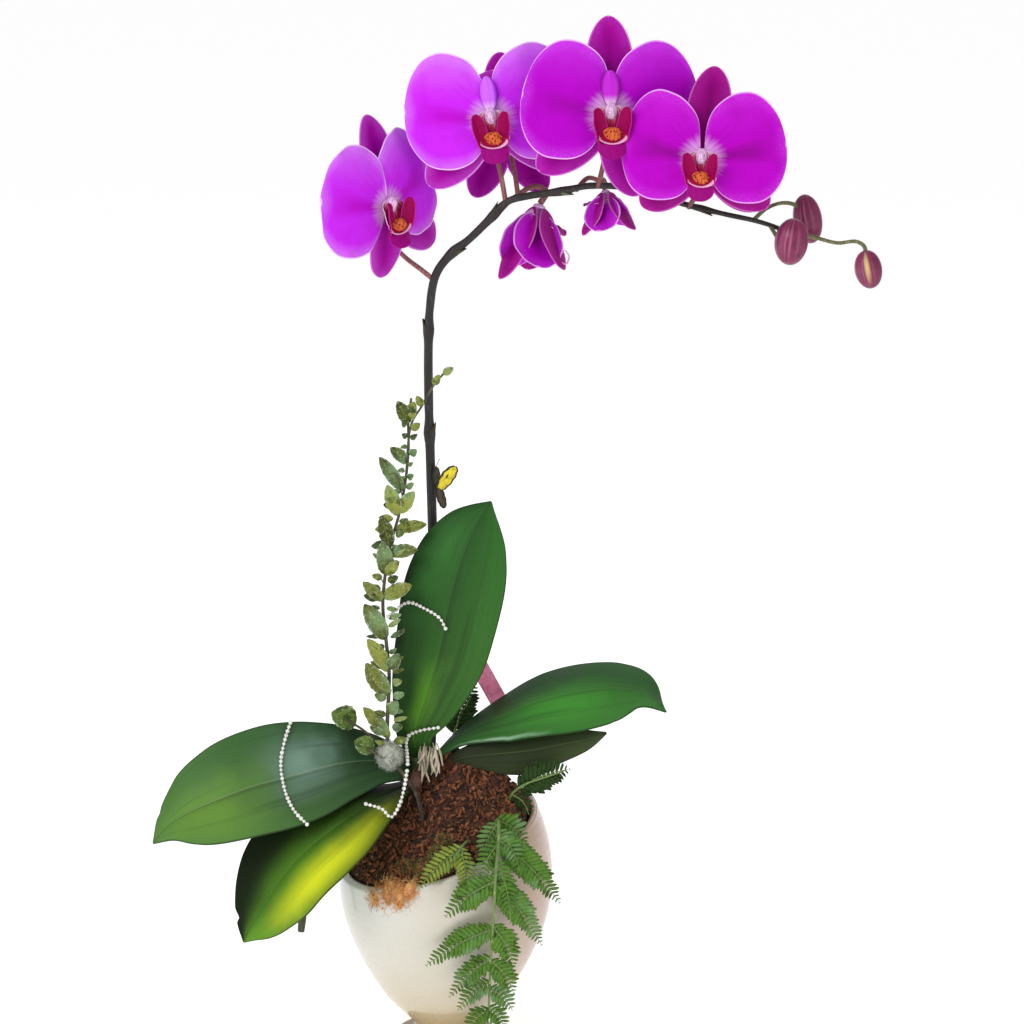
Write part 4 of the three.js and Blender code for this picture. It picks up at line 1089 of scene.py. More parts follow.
@dataclass(frozen=True)
class GreenFinish:
    """Thin foliage that goes from one green to another by each leaflet's own shade."""

    name: str
    near: Colour
    far: Colour
    dark: Colour
    bloom: Colour | None = None
    gloss: float = 0.5
    pale: Colour = srgb(150, 190, 140)

    def make(self) -> Material:
        """The foliage material."""
        s = Shader(self.name)
        u, v = s.pattern()
        shade = s.attribute(TONE_NAME)
        cloud = s.noise(6, 3)
        lean = shade + (cloud - 0.5) * 0.8
        body = s.mix(s.between(lean, 0.1, 0.8), self.near, self.far)
        body = s.mix(s.between(cloud, 0.5, 0.66) * 0.7, body, self.dark)
        body = s.mix(s.between(s.noise(26, 2), 0.5, 0.66) * 0.4, body, self.pale)
        rib = s.bell(v, 0.5, 0.06)
        body = s.mix(rib * 0.5, body, self.far)
        ridges = s.math("SINE", (u + abs(v - 0.5)) * 60.0)
        if self.bloom:
            dust = s.noise(1.6, 4, 0.7) + s.between(s.attribute(EDGE_NAME), 1.0, 0.0) * 0.1
            body = s.mix(s.between(dust, 0.54, 0.74) * 0.8, body, self.bloom)
        height = ridges * 0.3 + s.noise(1.2, 3)
        return s.done(body, self.gloss + cloud * 0.25, height, 0.25, Subsurface_Weight=0.08,
                      Subsurface_Scale=0.001, Specular_IOR_Level=0.15)


@dataclass(frozen=True)
class BeadFinish:
    """Pearly white bead with a cloudy, slightly warm surface."""

    name: str = "pearl_bead"
    white: Colour = srgb(244, 243, 238)
    warm: Colour = srgb(206, 196, 186)

    def make(self) -> Material:
        """The bead's material."""
        s = Shader(self.name)
        cloud = s.noise(3, 3)
        body = s.mix(s.between(cloud, 0.4, 0.75), self.white, self.warm)
        rough = 0.14 + cloud * 0.2
        return s.done(body, rough, s.noise(0.7, 2), 0.05, Coat_Weight=0.6, Coat_Roughness=0.08)


@dataclass(frozen=True)
class WingFinish:
    """Yellow wing with a dark border, dark veins and a few dark dots."""

    name: str = "butterfly_wing"
    yellow: Colour = srgb(244, 222, 40)
    border: Colour = srgb(36, 28, 18)

    def make(self) -> Material:
        """The wing's material."""
        s = Shader(self.name)
        u, v = s.pattern()
        cloud = s.noise(4, 3)
        body = s.mix(s.between(cloud, 0.45, 0.7) * 0.3, self.yellow, self.border)
        fan = (v - 0.5) / (u + 0.15)
        rays = s.math("SINE", fan * 38.0)
        body = s.mix(s.between(rays, 0.86, 0.98) * 0.6, body, self.border)
        edge = s.attribute(EDGE_NAME) + (s.noise(2, 2) - 0.5) * 1.6
        body = s.mix(s.between(edge, 1.7, 1.1), body, self.border)
        spot = s.bell(u, 0.55, 0.09) * s.bell(v, 0.62, 0.09)
        body = s.mix(s.between(spot, 0.2, 0.45), body, self.border)
        return s.done(body, 0.45 + cloud * 0.2, rays + cloud, 0.08)


@dataclass(frozen=True)
class LabelFinish:
    """Pink plastic label, mottled and scuffed paler along one side."""

    name: str = "pink_label"
    pink: Colour = srgb(255, 150, 190)
    deep: Colour = srgb(240, 118, 164)
    scuff: Colour = srgb(244, 226, 228)

    def make(self) -> Material:
        """The label's material."""
        s = Shader(self.name)
        cloud = s.noise(5, 4, 0.7)
        body = s.mix(s.between(cloud, 0.4, 0.66), self.pink, self.deep)
        z = s.parts(s.place)[2]
        body = s.mix(s.between(s.noise(3, 3), 0.56, 0.7) * s.between(z, 0.262, 0.225), body, self.scuff)
        return s.done(body, 0.35 + cloud * 0.25, s.noise(1.4, 3), 0.15)


# Pot, mix and mound

POT_OUTER = (
    (0, 0), (34, 0), (35.5, 2), (34, 4.5), (22.5, 8), (21, 12), (27.6, 19.8), (41.2, 34.3), (50.8, 48.7),
    (60, 66.5), (68.2, 88), (72, 112), (69.9, 141), (60.5, 169), (52, 182),
)
POT_INNER = (
    (0, 24), (16, 25), (28, 30), (38, 39), (50, 58), (60, 80), (66.4, 104), (66, 130), (61.3, 155), (47, 182),
)
MOUND_PEAK = (2.0, 2.0, 199.0)


def mouth(x: Array | float, y: Array | float) -> Array | float:
    """Height of the pot's slanting mouth over a point of its plan."""
    return 148.5 + 0.318 * np.asarray(x) + 0.17 * np.asarray(y)


def wall_radius(profile: Sequence[tuple[float, float]], z: Array | float) -> Array:
    """Radius of a wall profile at a height."""
    path = SmoothPath([(r, 0, h) for r, h in profile], 10)
    return np.interp(z, np.maximum.accumulate(path.dense[:, 2]), path.dense[:, 0])


def rim_height(profile: Sequence[tuple[float, float]], turn: float) -> float:
    """Height at which a wall meets the slanting mouth in a direction."""
    z = 150.0
    for _ in range(12):
        radius = float(wall_radius(profile, z))
        z = float(mouth(radius * math.cos(turn), radius * math.sin(turn)))
    return z


@dataclass
class GlazedPot:
    """Egg-shaped pot on a small flared foot, with a slanting rolled rim."""

    sides: int = 144
    wall_rows: int = 84
    rim_rows: int = 9
    shoulder: float = 70.0
    finish: GlazeFinish = field(default_factory=GlazeFinish)

    def build(self) -> Thing:
        """Turns the walls and rolls the rim.

        Returns:
            The pot.
        """
        outer_path = SmoothPath([(r, 0, h) for r, h in POT_OUTER], 10).dense
        low = [(r, z) for r, _, z in outer_path if z < self.shoulder]
        inner_path = SmoothPath([(r, 0, h) for r, h in POT_INNER], 6).dense
        columns = []
        for k in range(self.sides):
            turn = 2 * PI * k / self.sides
            top_out, top_in = rim_height(POT_OUTER, turn) - 1.9, rim_height(POT_INNER, turn) - 1.9
            high = np.linspace(self.shoulder, top_out, self.wall_rows - 40)
            column = low[1:] + list(zip(wall_radius(POT_OUTER, high), high))
            edge_out = (float(wall_radius(POT_OUTER, top_out)), top_out)
            edge_in = (float(wall_radius(POT_INNER, top_in)), top_in)
            for step in range(1, self.rim_rows):
                swing = PI * step / self.rim_rows
                share = 0.5 - 0.5 * math.cos(swing)
                column.append((
                    edge_out[0] + (edge_in[0] - edge_out[0]) * share,
                    edge_out[1] + (edge_in[1] - edge_out[1]) * share + 1.9 * math.sin(swing),
                ))
            down = np.linspace(top_in, 26, 30)
            column += list(zip(wall_radius(POT_INNER, down), down))
            column += [(r, z) for r, _, z in inner_path[::-1] if z < 25.5 and r > 0.5]
            columns.append([(r * math.cos(turn), r * math.sin(turn), max(z, 0)) for r, z in column])
        rows = min(len(column) for column in columns)
        points = np.array([column[:rows] for column in columns]).transpose(1, 0, 2)
        faces = grid_faces(rows, self.sides, wrap=True)
        flat = points.reshape(-1, 3)
        for row, centre in ((0, (0, 0, 0)), (rows - 1, (0, 0, 24))):
            flat = np.concatenate([flat, [centre]])
            faces += fan_faces(len(flat) - 1, row * self.sides, self.sides)
        draft = Draft()
        draft.add(flat, faces)
        return draft.make("glazed_pot")

    def dress(self, piece: Thing) -> None:
        """Glazes the pot."""
        keep(piece, "pot", "pot", self.finish)


@dataclass
class PottingMix:
    """The mix that fills the pot under the coir."""

    finish: CrumbFinish = CrumbFinish("bark_mix", srgb(34, 24, 18), srgb(70, 50, 34), srgb(122, 88, 56), 4.0,
                                      1.2)

    def build(self) -> Thing:
        """The frame's own solid, which is fine as it is."""
        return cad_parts["potting_mix"]

    def dress(self, piece: Thing) -> None:
        """Gives the mix its bark look."""
        piece.data.materials.clear()
        piece.data.materials.append(self.finish.make())


def fibre() -> Thing:
    """One loose fibre, standing on the origin."""
    draft = Draft()
    path = SmoothPath([(0, 0, -0.6), (0.5, 0.3, 1.6), (2.2, 0.6, 3.2), (4.6, -0.6, 3.6)], 4)
    draft.tube(path, (0.2, 0.16, 0.09), 3, 5)
    return draft.make("fibre")


def scattered(mesh: bpy.types.Mesh, piece: Thing, material: Material, density: float, lean: float,
              sizes: tuple[float, float], seed: int) -> Thing:
    """Copies of a small piece all over a mesh.

    Args:
        mesh: where they stand.
        piece: what is copied, which is used up.
        material: what they are made of.
        density: how many there are to a square metre.
        lean: how far they lean away from upright, in shares of half a turn.
        sizes: the smallest and largest scale.
        seed: sets where they stand.

    Returns:
        The copies as one object.
    """
    copies = scatter_graph().run(linked("host", mesh), "copies", material, Piece=piece, Density=density,
                                 Lean=lean, Small=sizes[0], Large=sizes[1], Seed=seed)
    bpy.data.objects.remove(piece)
    return copies


@dataclass
class CoirMound:
    """Lumpy coir that fills the mouth, with bark chunks, loose fibres and a little moss."""

    rings: int = 54
    sides: int = 150
    depth: float = 12.0
    relief: float = 2.6
    fibres: float = 26000.0
    chunks: float = 90000.0
    moss: float = 1400000.0
    finish: CrumbFinish = CrumbFinish("coir_bed", srgb(20, 11, 7), srgb(72, 40, 23), srgb(148, 88, 52), 2.4,
                                      1.2)
    husk_finish: CrumbFinish = CrumbFinish("coir_husk", srgb(40, 21, 13), srgb(126, 70, 39),
                                           srgb(234, 156, 102), 2.0, 0.6)
    fibre_finish: CrumbFinish = CrumbFinish("coir_fibre", srgb(48, 30, 19), srgb(118, 76, 44),
                                            srgb(206, 150, 92), 3.0, 0.2)
    moss_finish: CrumbFinish = CrumbFinish("pale_moss", srgb(92, 98, 40), srgb(170, 166, 84),
                                           srgb(226, 218, 150), 2.0, 0.4)

    def height(self, x: float, y: float, reach: float) -> float:
        """Height of the mound over a point.

        Args:
            x: place across.
            y: place in depth.
            reach: share of the way from the peak to the edge.

        Returns:
            The height in millimetres.
        """
        rise = MOUND_PEAK[2] - float(mouth(MOUND_PEAK[0], MOUND_PEAK[1]))
        waves = math.sin(x * 0.31 + 1.1) * math.cos(y * 0.27) + 0.6 * math.sin(x * 0.17 - y * 0.38)
        lumps = self.relief * waves
        crags = 2.6 * wobble(x, y, 3, 5.5) + 1.5 * wobble(x, y, 9, 2.6) + 0.8 * wobble(x, y, 5, 1.3)
        return float(mouth(x, y)) + 1 + rise * (1 - reach**1.5) + (lumps + crags) * (1 - reach**7)

    def surface(self) -> Thing:
        """The bed itself, closed underneath."""
        rims = []
        for turn in np.linspace(0, 2 * PI, self.sides, endpoint=False):
            edge = float(wall_radius(POT_INNER, rim_height(POT_INNER, turn))) - 1.2
            rims.append((edge * math.cos(turn), edge * math.sin(turn)))
        points = [MOUND_PEAK]
        for reach in np.arange(1, self.rings + 1) / self.rings:
            for rim in rims:
                x, y = (peak + (end - peak) * reach for peak, end in zip(MOUND_PEAK, rim))
                points.append((x, y, self.height(x, y, reach)))
        points += [(x, y, float(mouth(x, y)) - self.depth) for x, y in (*rims, (0, 0))]
        faces = fan_faces(0, 1, self.sides) + grid_faces(self.rings + 1, self.sides, 1, wrap=True)
        faces += fan_faces(len(points) - 1, 1 + self.rings * self.sides, self.sides)
        draft = Draft()
        draft.add(np.array(points), faces)
        return draft.make("coir_mound_bed")

    def chunk(self) -> Thing:
        """One crumb of husk, centred on the origin."""
        draft = Draft()
        draft.ball((0, 0, 0.6), (0.85, 0.7, 2.0), 7, 5, axis=(1, 0.2, 0.15),
                   swell=lambda h, t: 1 + 0.25 * math.sin(3 * t + 5 * h))
        return draft.make("chunk")

    def build(self) -> Thing:
        """Makes the bed and scatters the loose stuff on its upper side.

        Returns:
            The whole mound.
        """
        bed = self.surface()
        paint(bed, self.finish.make())
        above = top_only(bed.data, lambda p: p[2] > float(mouth(p[0], p[1])) - 2)
        corner = top_only(bed.data, lambda p: p[1] < -46 and -46 < p[0] < 6 and wobble(*p, 9) > -0.1)
        moss, loose, husk = self.moss_finish.make(), self.fibre_finish.make(), self.husk_finish.make()
        parts = [bed, scattered(above, self.chunk(), husk, self.chunks, 0.45, (0.6, 1.8), 7),
                 scattered(above.copy(), fibre(), loose, self.fibres, 1.3, (0.4, 1.1), 7),
                 scattered(corner, fibre(), moss, self.moss, 0.8, (0.35, 0.7), 3)]
        return joined("coir_mound_top", parts)

    def dress(self, piece: Thing) -> None:
        """Hands the mound over in its coir finish."""
        keep(piece, "coir_mound", "coir_mound")


def top_only(mesh: bpy.types.Mesh, holds: Callable[[Triple], bool]) -> bpy.types.Mesh:
    """The part of a mesh whose faces look up and whose middles pass a test.

    Args:
        mesh: the whole mesh.
        holds: the test on a face's middle, in millimetres.

    Returns:
        A new mesh.
    """
    shape = bmesh.new()
    shape.from_mesh(mesh)
    drop = [f for f in shape.faces if f.normal.z < 0.1 or not holds(tuple(f.calc_center_median() / MM))]
    bmesh.ops.delete(shape, geom=drop, context="FACES")
    part = bpy.data.meshes.new("top")
    shape.to_mesh(part)
    shape.free()
    return part


@dataclass
class CoirTuft:
    """Loose orange coir that spills over the front of the rim."""

    centres: tuple[Triple, ...] = ((-43, -53, 118.5), (-35, -59, 123), (-28, -63, 123), (-21.5, -66, 128))
    drops: tuple[float, ...] = (8.0, 11.5, 11.0, 7.0)
    strands: float = 700000.0
    finish: CrumbFinish = CrumbFinish("orange_coir", srgb(196, 124, 62), srgb(240, 184, 118),
                                      srgb(255, 232, 184), 1.6, 0.4)

    def build(self) -> Thing:
        """Piles rough clumps and covers them with wisps.

        Returns:
            The tuft.
        """
        draft = Draft()
        for k, (centre, drop) in enumerate(zip(self.centres, self.drops)):
            draft.ball(centre, (4.6, 4.8, drop * 0.85), 26, 18,
                       swell=lambda h, t, k=k: 1 + 0.2 * wobble(9 * math.cos(t), 9 * math.sin(t),
                                                                22 * h + 9 * k, 3.5))
        core = draft.make("tuft_core")
        material = self.finish.make()
        paint(core, material)
        wisps = scattered(core.data.copy(), fibre(), material, self.strands, 1.0, (0.4, 1.25), 9)
        return joined("orange_coir_tuft", [core, wisps])

    def dress(self, piece: Thing) -> None:
        """Hands the tuft over."""
        keep(piece, "coir_tuft", "coir_tuft")


# Crown and leaves


@dataclass
class Crown:
    """Short stem of the orchid with leaf scars, a hanging root and a cut stub."""

    profile: tuple[tuple[float, float], ...] = ((0.5, 150), (7, 152), (9, 166), (11, 186), (10, 200),
                                                (5.5, 208), (0.5, 210))
    centre_x: float = -13.0
    root: tuple[Triple, ...] = ((-15, -4, 180), (-34, -8, 181), (-55, -12, 172), (-76, -16, 150),
                                (-89, -20, 120), (-95, -21, 100), (-97, -21, 84))
    root_radii: tuple[float, ...] = (3, 2.8, 2.8, 3.0, 2.4)
    dried: int = 26
    stub: tuple[Triple, ...] = ((-14, -4, 190), (-17, -14, 193), (-19, -22, 191), (-20, -27, 186))
    stub_radii: tuple[float, ...] = (4, 4.5, 4.4)
    finish: StemFinish = StemFinish("crown_skin", srgb(62, 78, 40), srgb(116, 128, 76), srgb(38, 34, 22),
                                    grain=2.4)
    root_finish: StemFinish = StemFinish("air_root", srgb(58, 62, 36), srgb(98, 104, 66), srgb(50, 34, 22),
                                         grain=2.0)
    dried_finish: StemFinish = StemFinish("dried_root", srgb(200, 188, 164), srgb(244, 238, 226),
                                          srgb(84, 66, 50))
    stub_finish: StemFinish = StemFinish("cut_stub", srgb(92, 58, 46), srgb(140, 96, 72), srgb(44, 26, 24),
                                         grain=1.8)

    def build(self) -> Thing:
        """Makes stem, root and stub.

        Returns:
            The crown.
        """
        draft = Draft()
        heights = [z for _, z in self.profile]
        stem = SmoothPath([(self.centre_x, 0, z) for z in np.linspace(heights[0], heights[-1], 5)])
        radii = [float(np.interp(z, heights, [r for r, _ in self.profile])) for z in np.linspace(150, 210,
                                                                                                 13)]
        draft.tube(stem, radii, 36, 60, slot=0,
                   ripple=lambda u, t: 1 + 0.05 * np.sin(u * 46 + 1.2 * np.cos(t)) + 0.04 * np.cos(3 * t))
        draft.tube(SmoothPath(self.root), self.root_radii, 16, 90, slot=1,
                   ripple=lambda u, t: 1 + 0.06 * np.sin(23 * u + t) + 0.05 * np.sin(61 * u))
        draft.tube(SmoothPath(self.stub), self.stub_radii, 22, 26, slot=2,
                   ripple=lambda u, t: 1 + 0.05 * np.sin(5 * t) + 0.05 * np.sin(40 * u))
        rng = np.random.default_rng(4)
        for _ in range(self.dried):
            top = np.array([-19 + 14 * rng.random(), -12 - 6 * rng.random(), 205 + 9 * rng.random()])
            end = top + (9 * (rng.random() - 0.5), -4 - 4 * rng.random(), -9 - 9 * rng.random())
            bend = (top + end) / 2 + (4 * (rng.random() - 0.5), -2, 0)
            draft.tube(SmoothPath([top, bend, end]), (0.4, 0.9, 0.4), 6, 12, slot=3)
        return draft.make("orchid_crown")

    def dress(self, piece: Thing) -> None:
        """Paints stem, root and stub."""
        keep(piece, "leaves", "crown", self.finish, self.root_finish, self.stub_finish, self.dried_finish)


@dataclass
class Leaf:
    """One long leathery leaf along a curved midrib."""

    name: str
    node: str
    midrib: tuple[Triple, ...]
    sides: tuple[Triple, ...]
    widths: tuple[float, ...]
    finish: LeafFinish
    fold: float = 0.14
    thick: float = 2.2
    wave: float = 0.8
    waves: int = 3
    slot: str = "leaves"
    rows: int = 120
    columns: int = 36
    curl: float = 0.0
    notch: tuple[float, float, float] | None = None

    def surface(self, u: Array, v: Array, raised: float = 0.0) -> tuple[Array, Array]:
        """Points of the blade and their upward directions.

        Args:
            u: shares from base to tip.
            v: places from the back edge, -1, to the front edge, 1.
            raised: how far off the surface, in millimetres.

        Returns:
            Points and unit up vectors, each an array with u by v rows.
        """
        path = SmoothPath(self.midrib)
        centre, along = path.at(u), path.tangent(u)
        side = stations(self.sides, u)
        side = side - along * np.sum(side * along, axis=-1, keepdims=True)
        side /= np.linalg.norm(side, axis=-1, keepdims=True)
        up = np.cross(along, side)
        half = np.maximum(eased_stations(self.widths, u), 0.4)
        wave = self.wave * np.sin(u * self.waves * PI)
        fold = self.fold * half
        lift = fold[:, None] * np.abs(v) ** 1.4 + wave[:, None] * v * np.abs(v) + raised
        lift = lift + self.curl * (v**4) * np.sin(u * 17)[:, None]
        points = centre[:, None] + side[:, None] * (v * half[:, None])[..., None]
        points = points + up[:, None] * lift[..., None]
        return points, np.broadcast_to(up[:, None], points.shape)

    def point(self, u: float, v: float, raised: float) -> Triple:
        """One point over the blade, for what lies on it."""
        points, _ = self.surface(np.array([u]), np.array([[v]]), raised)
        return tuple(points[0, 0])

    def build(self) -> Thing:
        """Makes the blade with its keel and rim.

        Returns:
            The leaf.
        """
        u = 1 - (1 - np.linspace(0, 1, self.rows)) ** 1.25
        row = edge_to_edge(self.columns)
        v = np.broadcast_to(row, (self.rows, self.columns)).copy()
        if self.notch:
            place, edge, deep = self.notch
            bite = deep * np.exp(-(((u - place) / 0.012) ** 2))[:, None]
            v = np.where(np.sign(v) == edge, v * (1 - bite * np.abs(v) ** 3), v)
        points, _ = self.surface(u, v)
        half = np.maximum(eased_stations(self.widths, u), 0.4)
        keel = np.exp(-((row / 0.06) ** 2))
        normal = grid_normals(points)
        thick = self.thick * (1 - 0.62 * np.abs(row) ** 5) * np.minimum(1, 0.35 + half[:, None] / 12)
        points = points - normal * (0.55 * keel)[None, :, None]
        uv = np.stack([np.broadcast_to(u[:, None], v.shape), (v + 1) / 2], axis=-1)
        edge = (1 - np.abs(row))[None, :] * half[:, None]
        draft = Draft()
        draft.sheet(points, thick, uv, edge, normal=normal)
        return draft.make(self.name)

    def dress(self, piece: Thing) -> None:
        """Gives the leaf its own colours."""
        keep(piece, self.slot, self.node, self.finish)


# Flower spike


@dataclass
class FlowerSpike:
    """Arching dark spike with its twigs, nodes, bracts and the flowers' stalks."""

    path: tuple[Triple, ...] = (
        (-11, 3, 184), (-10, 12, 204), (-9, 15, 236), (-9, 13, 278), (-8, 12, 343), (-9, 11, 394),
        (-10, 10, 441), (-10, 9, 475), (-9, 8, 501), (-5, 7, 524), (3, 6, 536), (18, 4, 549), (31, 2, 562),
        (42, 0, 573), (56, -2, 577), (76, -5, 580), (95, -8, 584), (127, -12, 582), (152, -16, 574),
        (181, -19, 567), (200, -20, 563), (213, -20, 559), (224, -18, 554),
    )
    radii: tuple[float, ...] = (3.5, 3.4, 3.3, 3.2, 3.1, 2.9, 2.7, 2.4, 2.1, 1.8, 1.4)
    tip: tuple[Triple, ...] = ((222, -18, 555), (233, -15, 553), (241, -14, 551), (254, -15, 548),
                               (266, -16, 549), (271, -17.5, 546), (272, -18.5, 540))
    twigs: tuple[tuple[Triple, ...], ...] = (
        ((199, -20, 563), (208, -14, 570), (218, -9, 573), (226, -7, 572), (232, -4, 567)),
        ((210, -20, 560), (215, -24, 551), (218, -29, 542), (221, -32, 538)),
    )
    knots: tuple[float, ...] = (0.105, 0.235, 0.395, 0.51, 0.605, 0.665, 0.745, 0.83, 0.9)
    stalk_radii: tuple[float, ...] = (1.7, 1.5, 2.2)
    stalks: list[tuple[Triple, ...]] = field(default_factory=list)
    finish: StemFinish = StemFinish("spike_bark", srgb(28, 26, 22), srgb(66, 64, 54), srgb(14, 12, 12),
                                    srgb(32, 25, 23), (0.44, 0.57))
    twig_finish: StemFinish = StemFinish("green_twig", srgb(104, 104, 66), srgb(160, 160, 108),
                                         srgb(62, 52, 36))
    stalk_finish: StemFinish = StemFinish("flower_stalk", srgb(132, 76, 74), srgb(186, 140, 130),
                                          srgb(88, 46, 46))
    bract_finish: GreenFinish = GreenFinish("bract_scale", srgb(54, 46, 36), srgb(84, 74, 54),
                                            srgb(30, 24, 20))

    def build(self) -> Thing:
        """Sweeps the stems by a geometry tree and adds nodes and bracts.

        Returns:
            The spike.
        """
        spike = SmoothPath(self.path)
        u = np.linspace(0, 1, 181)
        girth = eased_stations(self.radii, u)
        for knot in self.knots:
            swollen, waist = ((u - knot) / 0.009) ** 2, ((u - knot - 0.02) / 0.008) ** 2
            girth = girth * (1 + 0.32 * np.exp(-swollen) - 0.06 * np.exp(-waist))
        dark = stem_graph().run(line_host([(spike, girth, 360)]), "spike_stem", self.finish.make(), Sides=16)
        twigs = [(SmoothPath(self.tip), (1.6, 1.3, 1.2, 1.4), 60)]
        twigs += [(SmoothPath(twig), (1.4, 1.2, 1.5), 36) for twig in self.twigs]
        green = stem_graph().run(line_host(twigs), "twigs", self.twig_finish.make(), Sides=14)
        stalks = [(SmoothPath(stalk), self.stalk_radii, 40) for stalk in self.stalks]
        pink = stem_graph().run(line_host(stalks), "stalks", self.stalk_finish.make(), Sides=12)
        bracts = self.bracts(spike)
        paint(bracts, self.bract_finish.make())
        return joined("flower_spike_stem", [dark, green, pink, bracts])

    def bracts(self, spike: SmoothPath) -> Thing:
        """A small clasping scale at each node of the spike."""
        draft = Draft()
        for k, knot in enumerate(self.knots):
            centre, along = spike.at(knot), spike.tangent(knot)
            radius = float(np.interp(knot, np.linspace(0, 1, len(self.radii)), self.radii))
            across = unit(np.cross(along, (0.2, 1, 0.1))) * (1 if k % 2 else -1)
            front = np.cross(along, across)
            rows, columns = 14, 13
            middle = np.zeros((rows, columns, 3))
            for i, s in enumerate(np.linspace(0, 1, rows)):
                for j, w in enumerate(np.linspace(-1, 1, columns)):
                    wrap = w * 1.9 * (1 - s) ** 0.7
                    out = (radius * 1.12 + 0.9 * s) * (math.cos(wrap) * across + math.sin(wrap) * front)
                    middle[i, j] = centre + along * (9 * s - 1.5) + out
            draft.sheet(middle, 0.5, tone=0.4)
        return draft.make("bracts")

    def dress(self, piece: Thing) -> None:
        """Hands the spike over in its bark."""
        keep(piece, "spike", "flower_spike")


# Flowers


class Stance(Enum):
    """How a flower is held."""

    OPEN = "open"
    NODDING = "nodding"


@dataclass(frozen=True)
class Tepal:
    """Where a petal or sepal points: angle in the flower's face, swing back from it, and its length share."""

    angle: float
    reflex: float
    length: float = 1.0


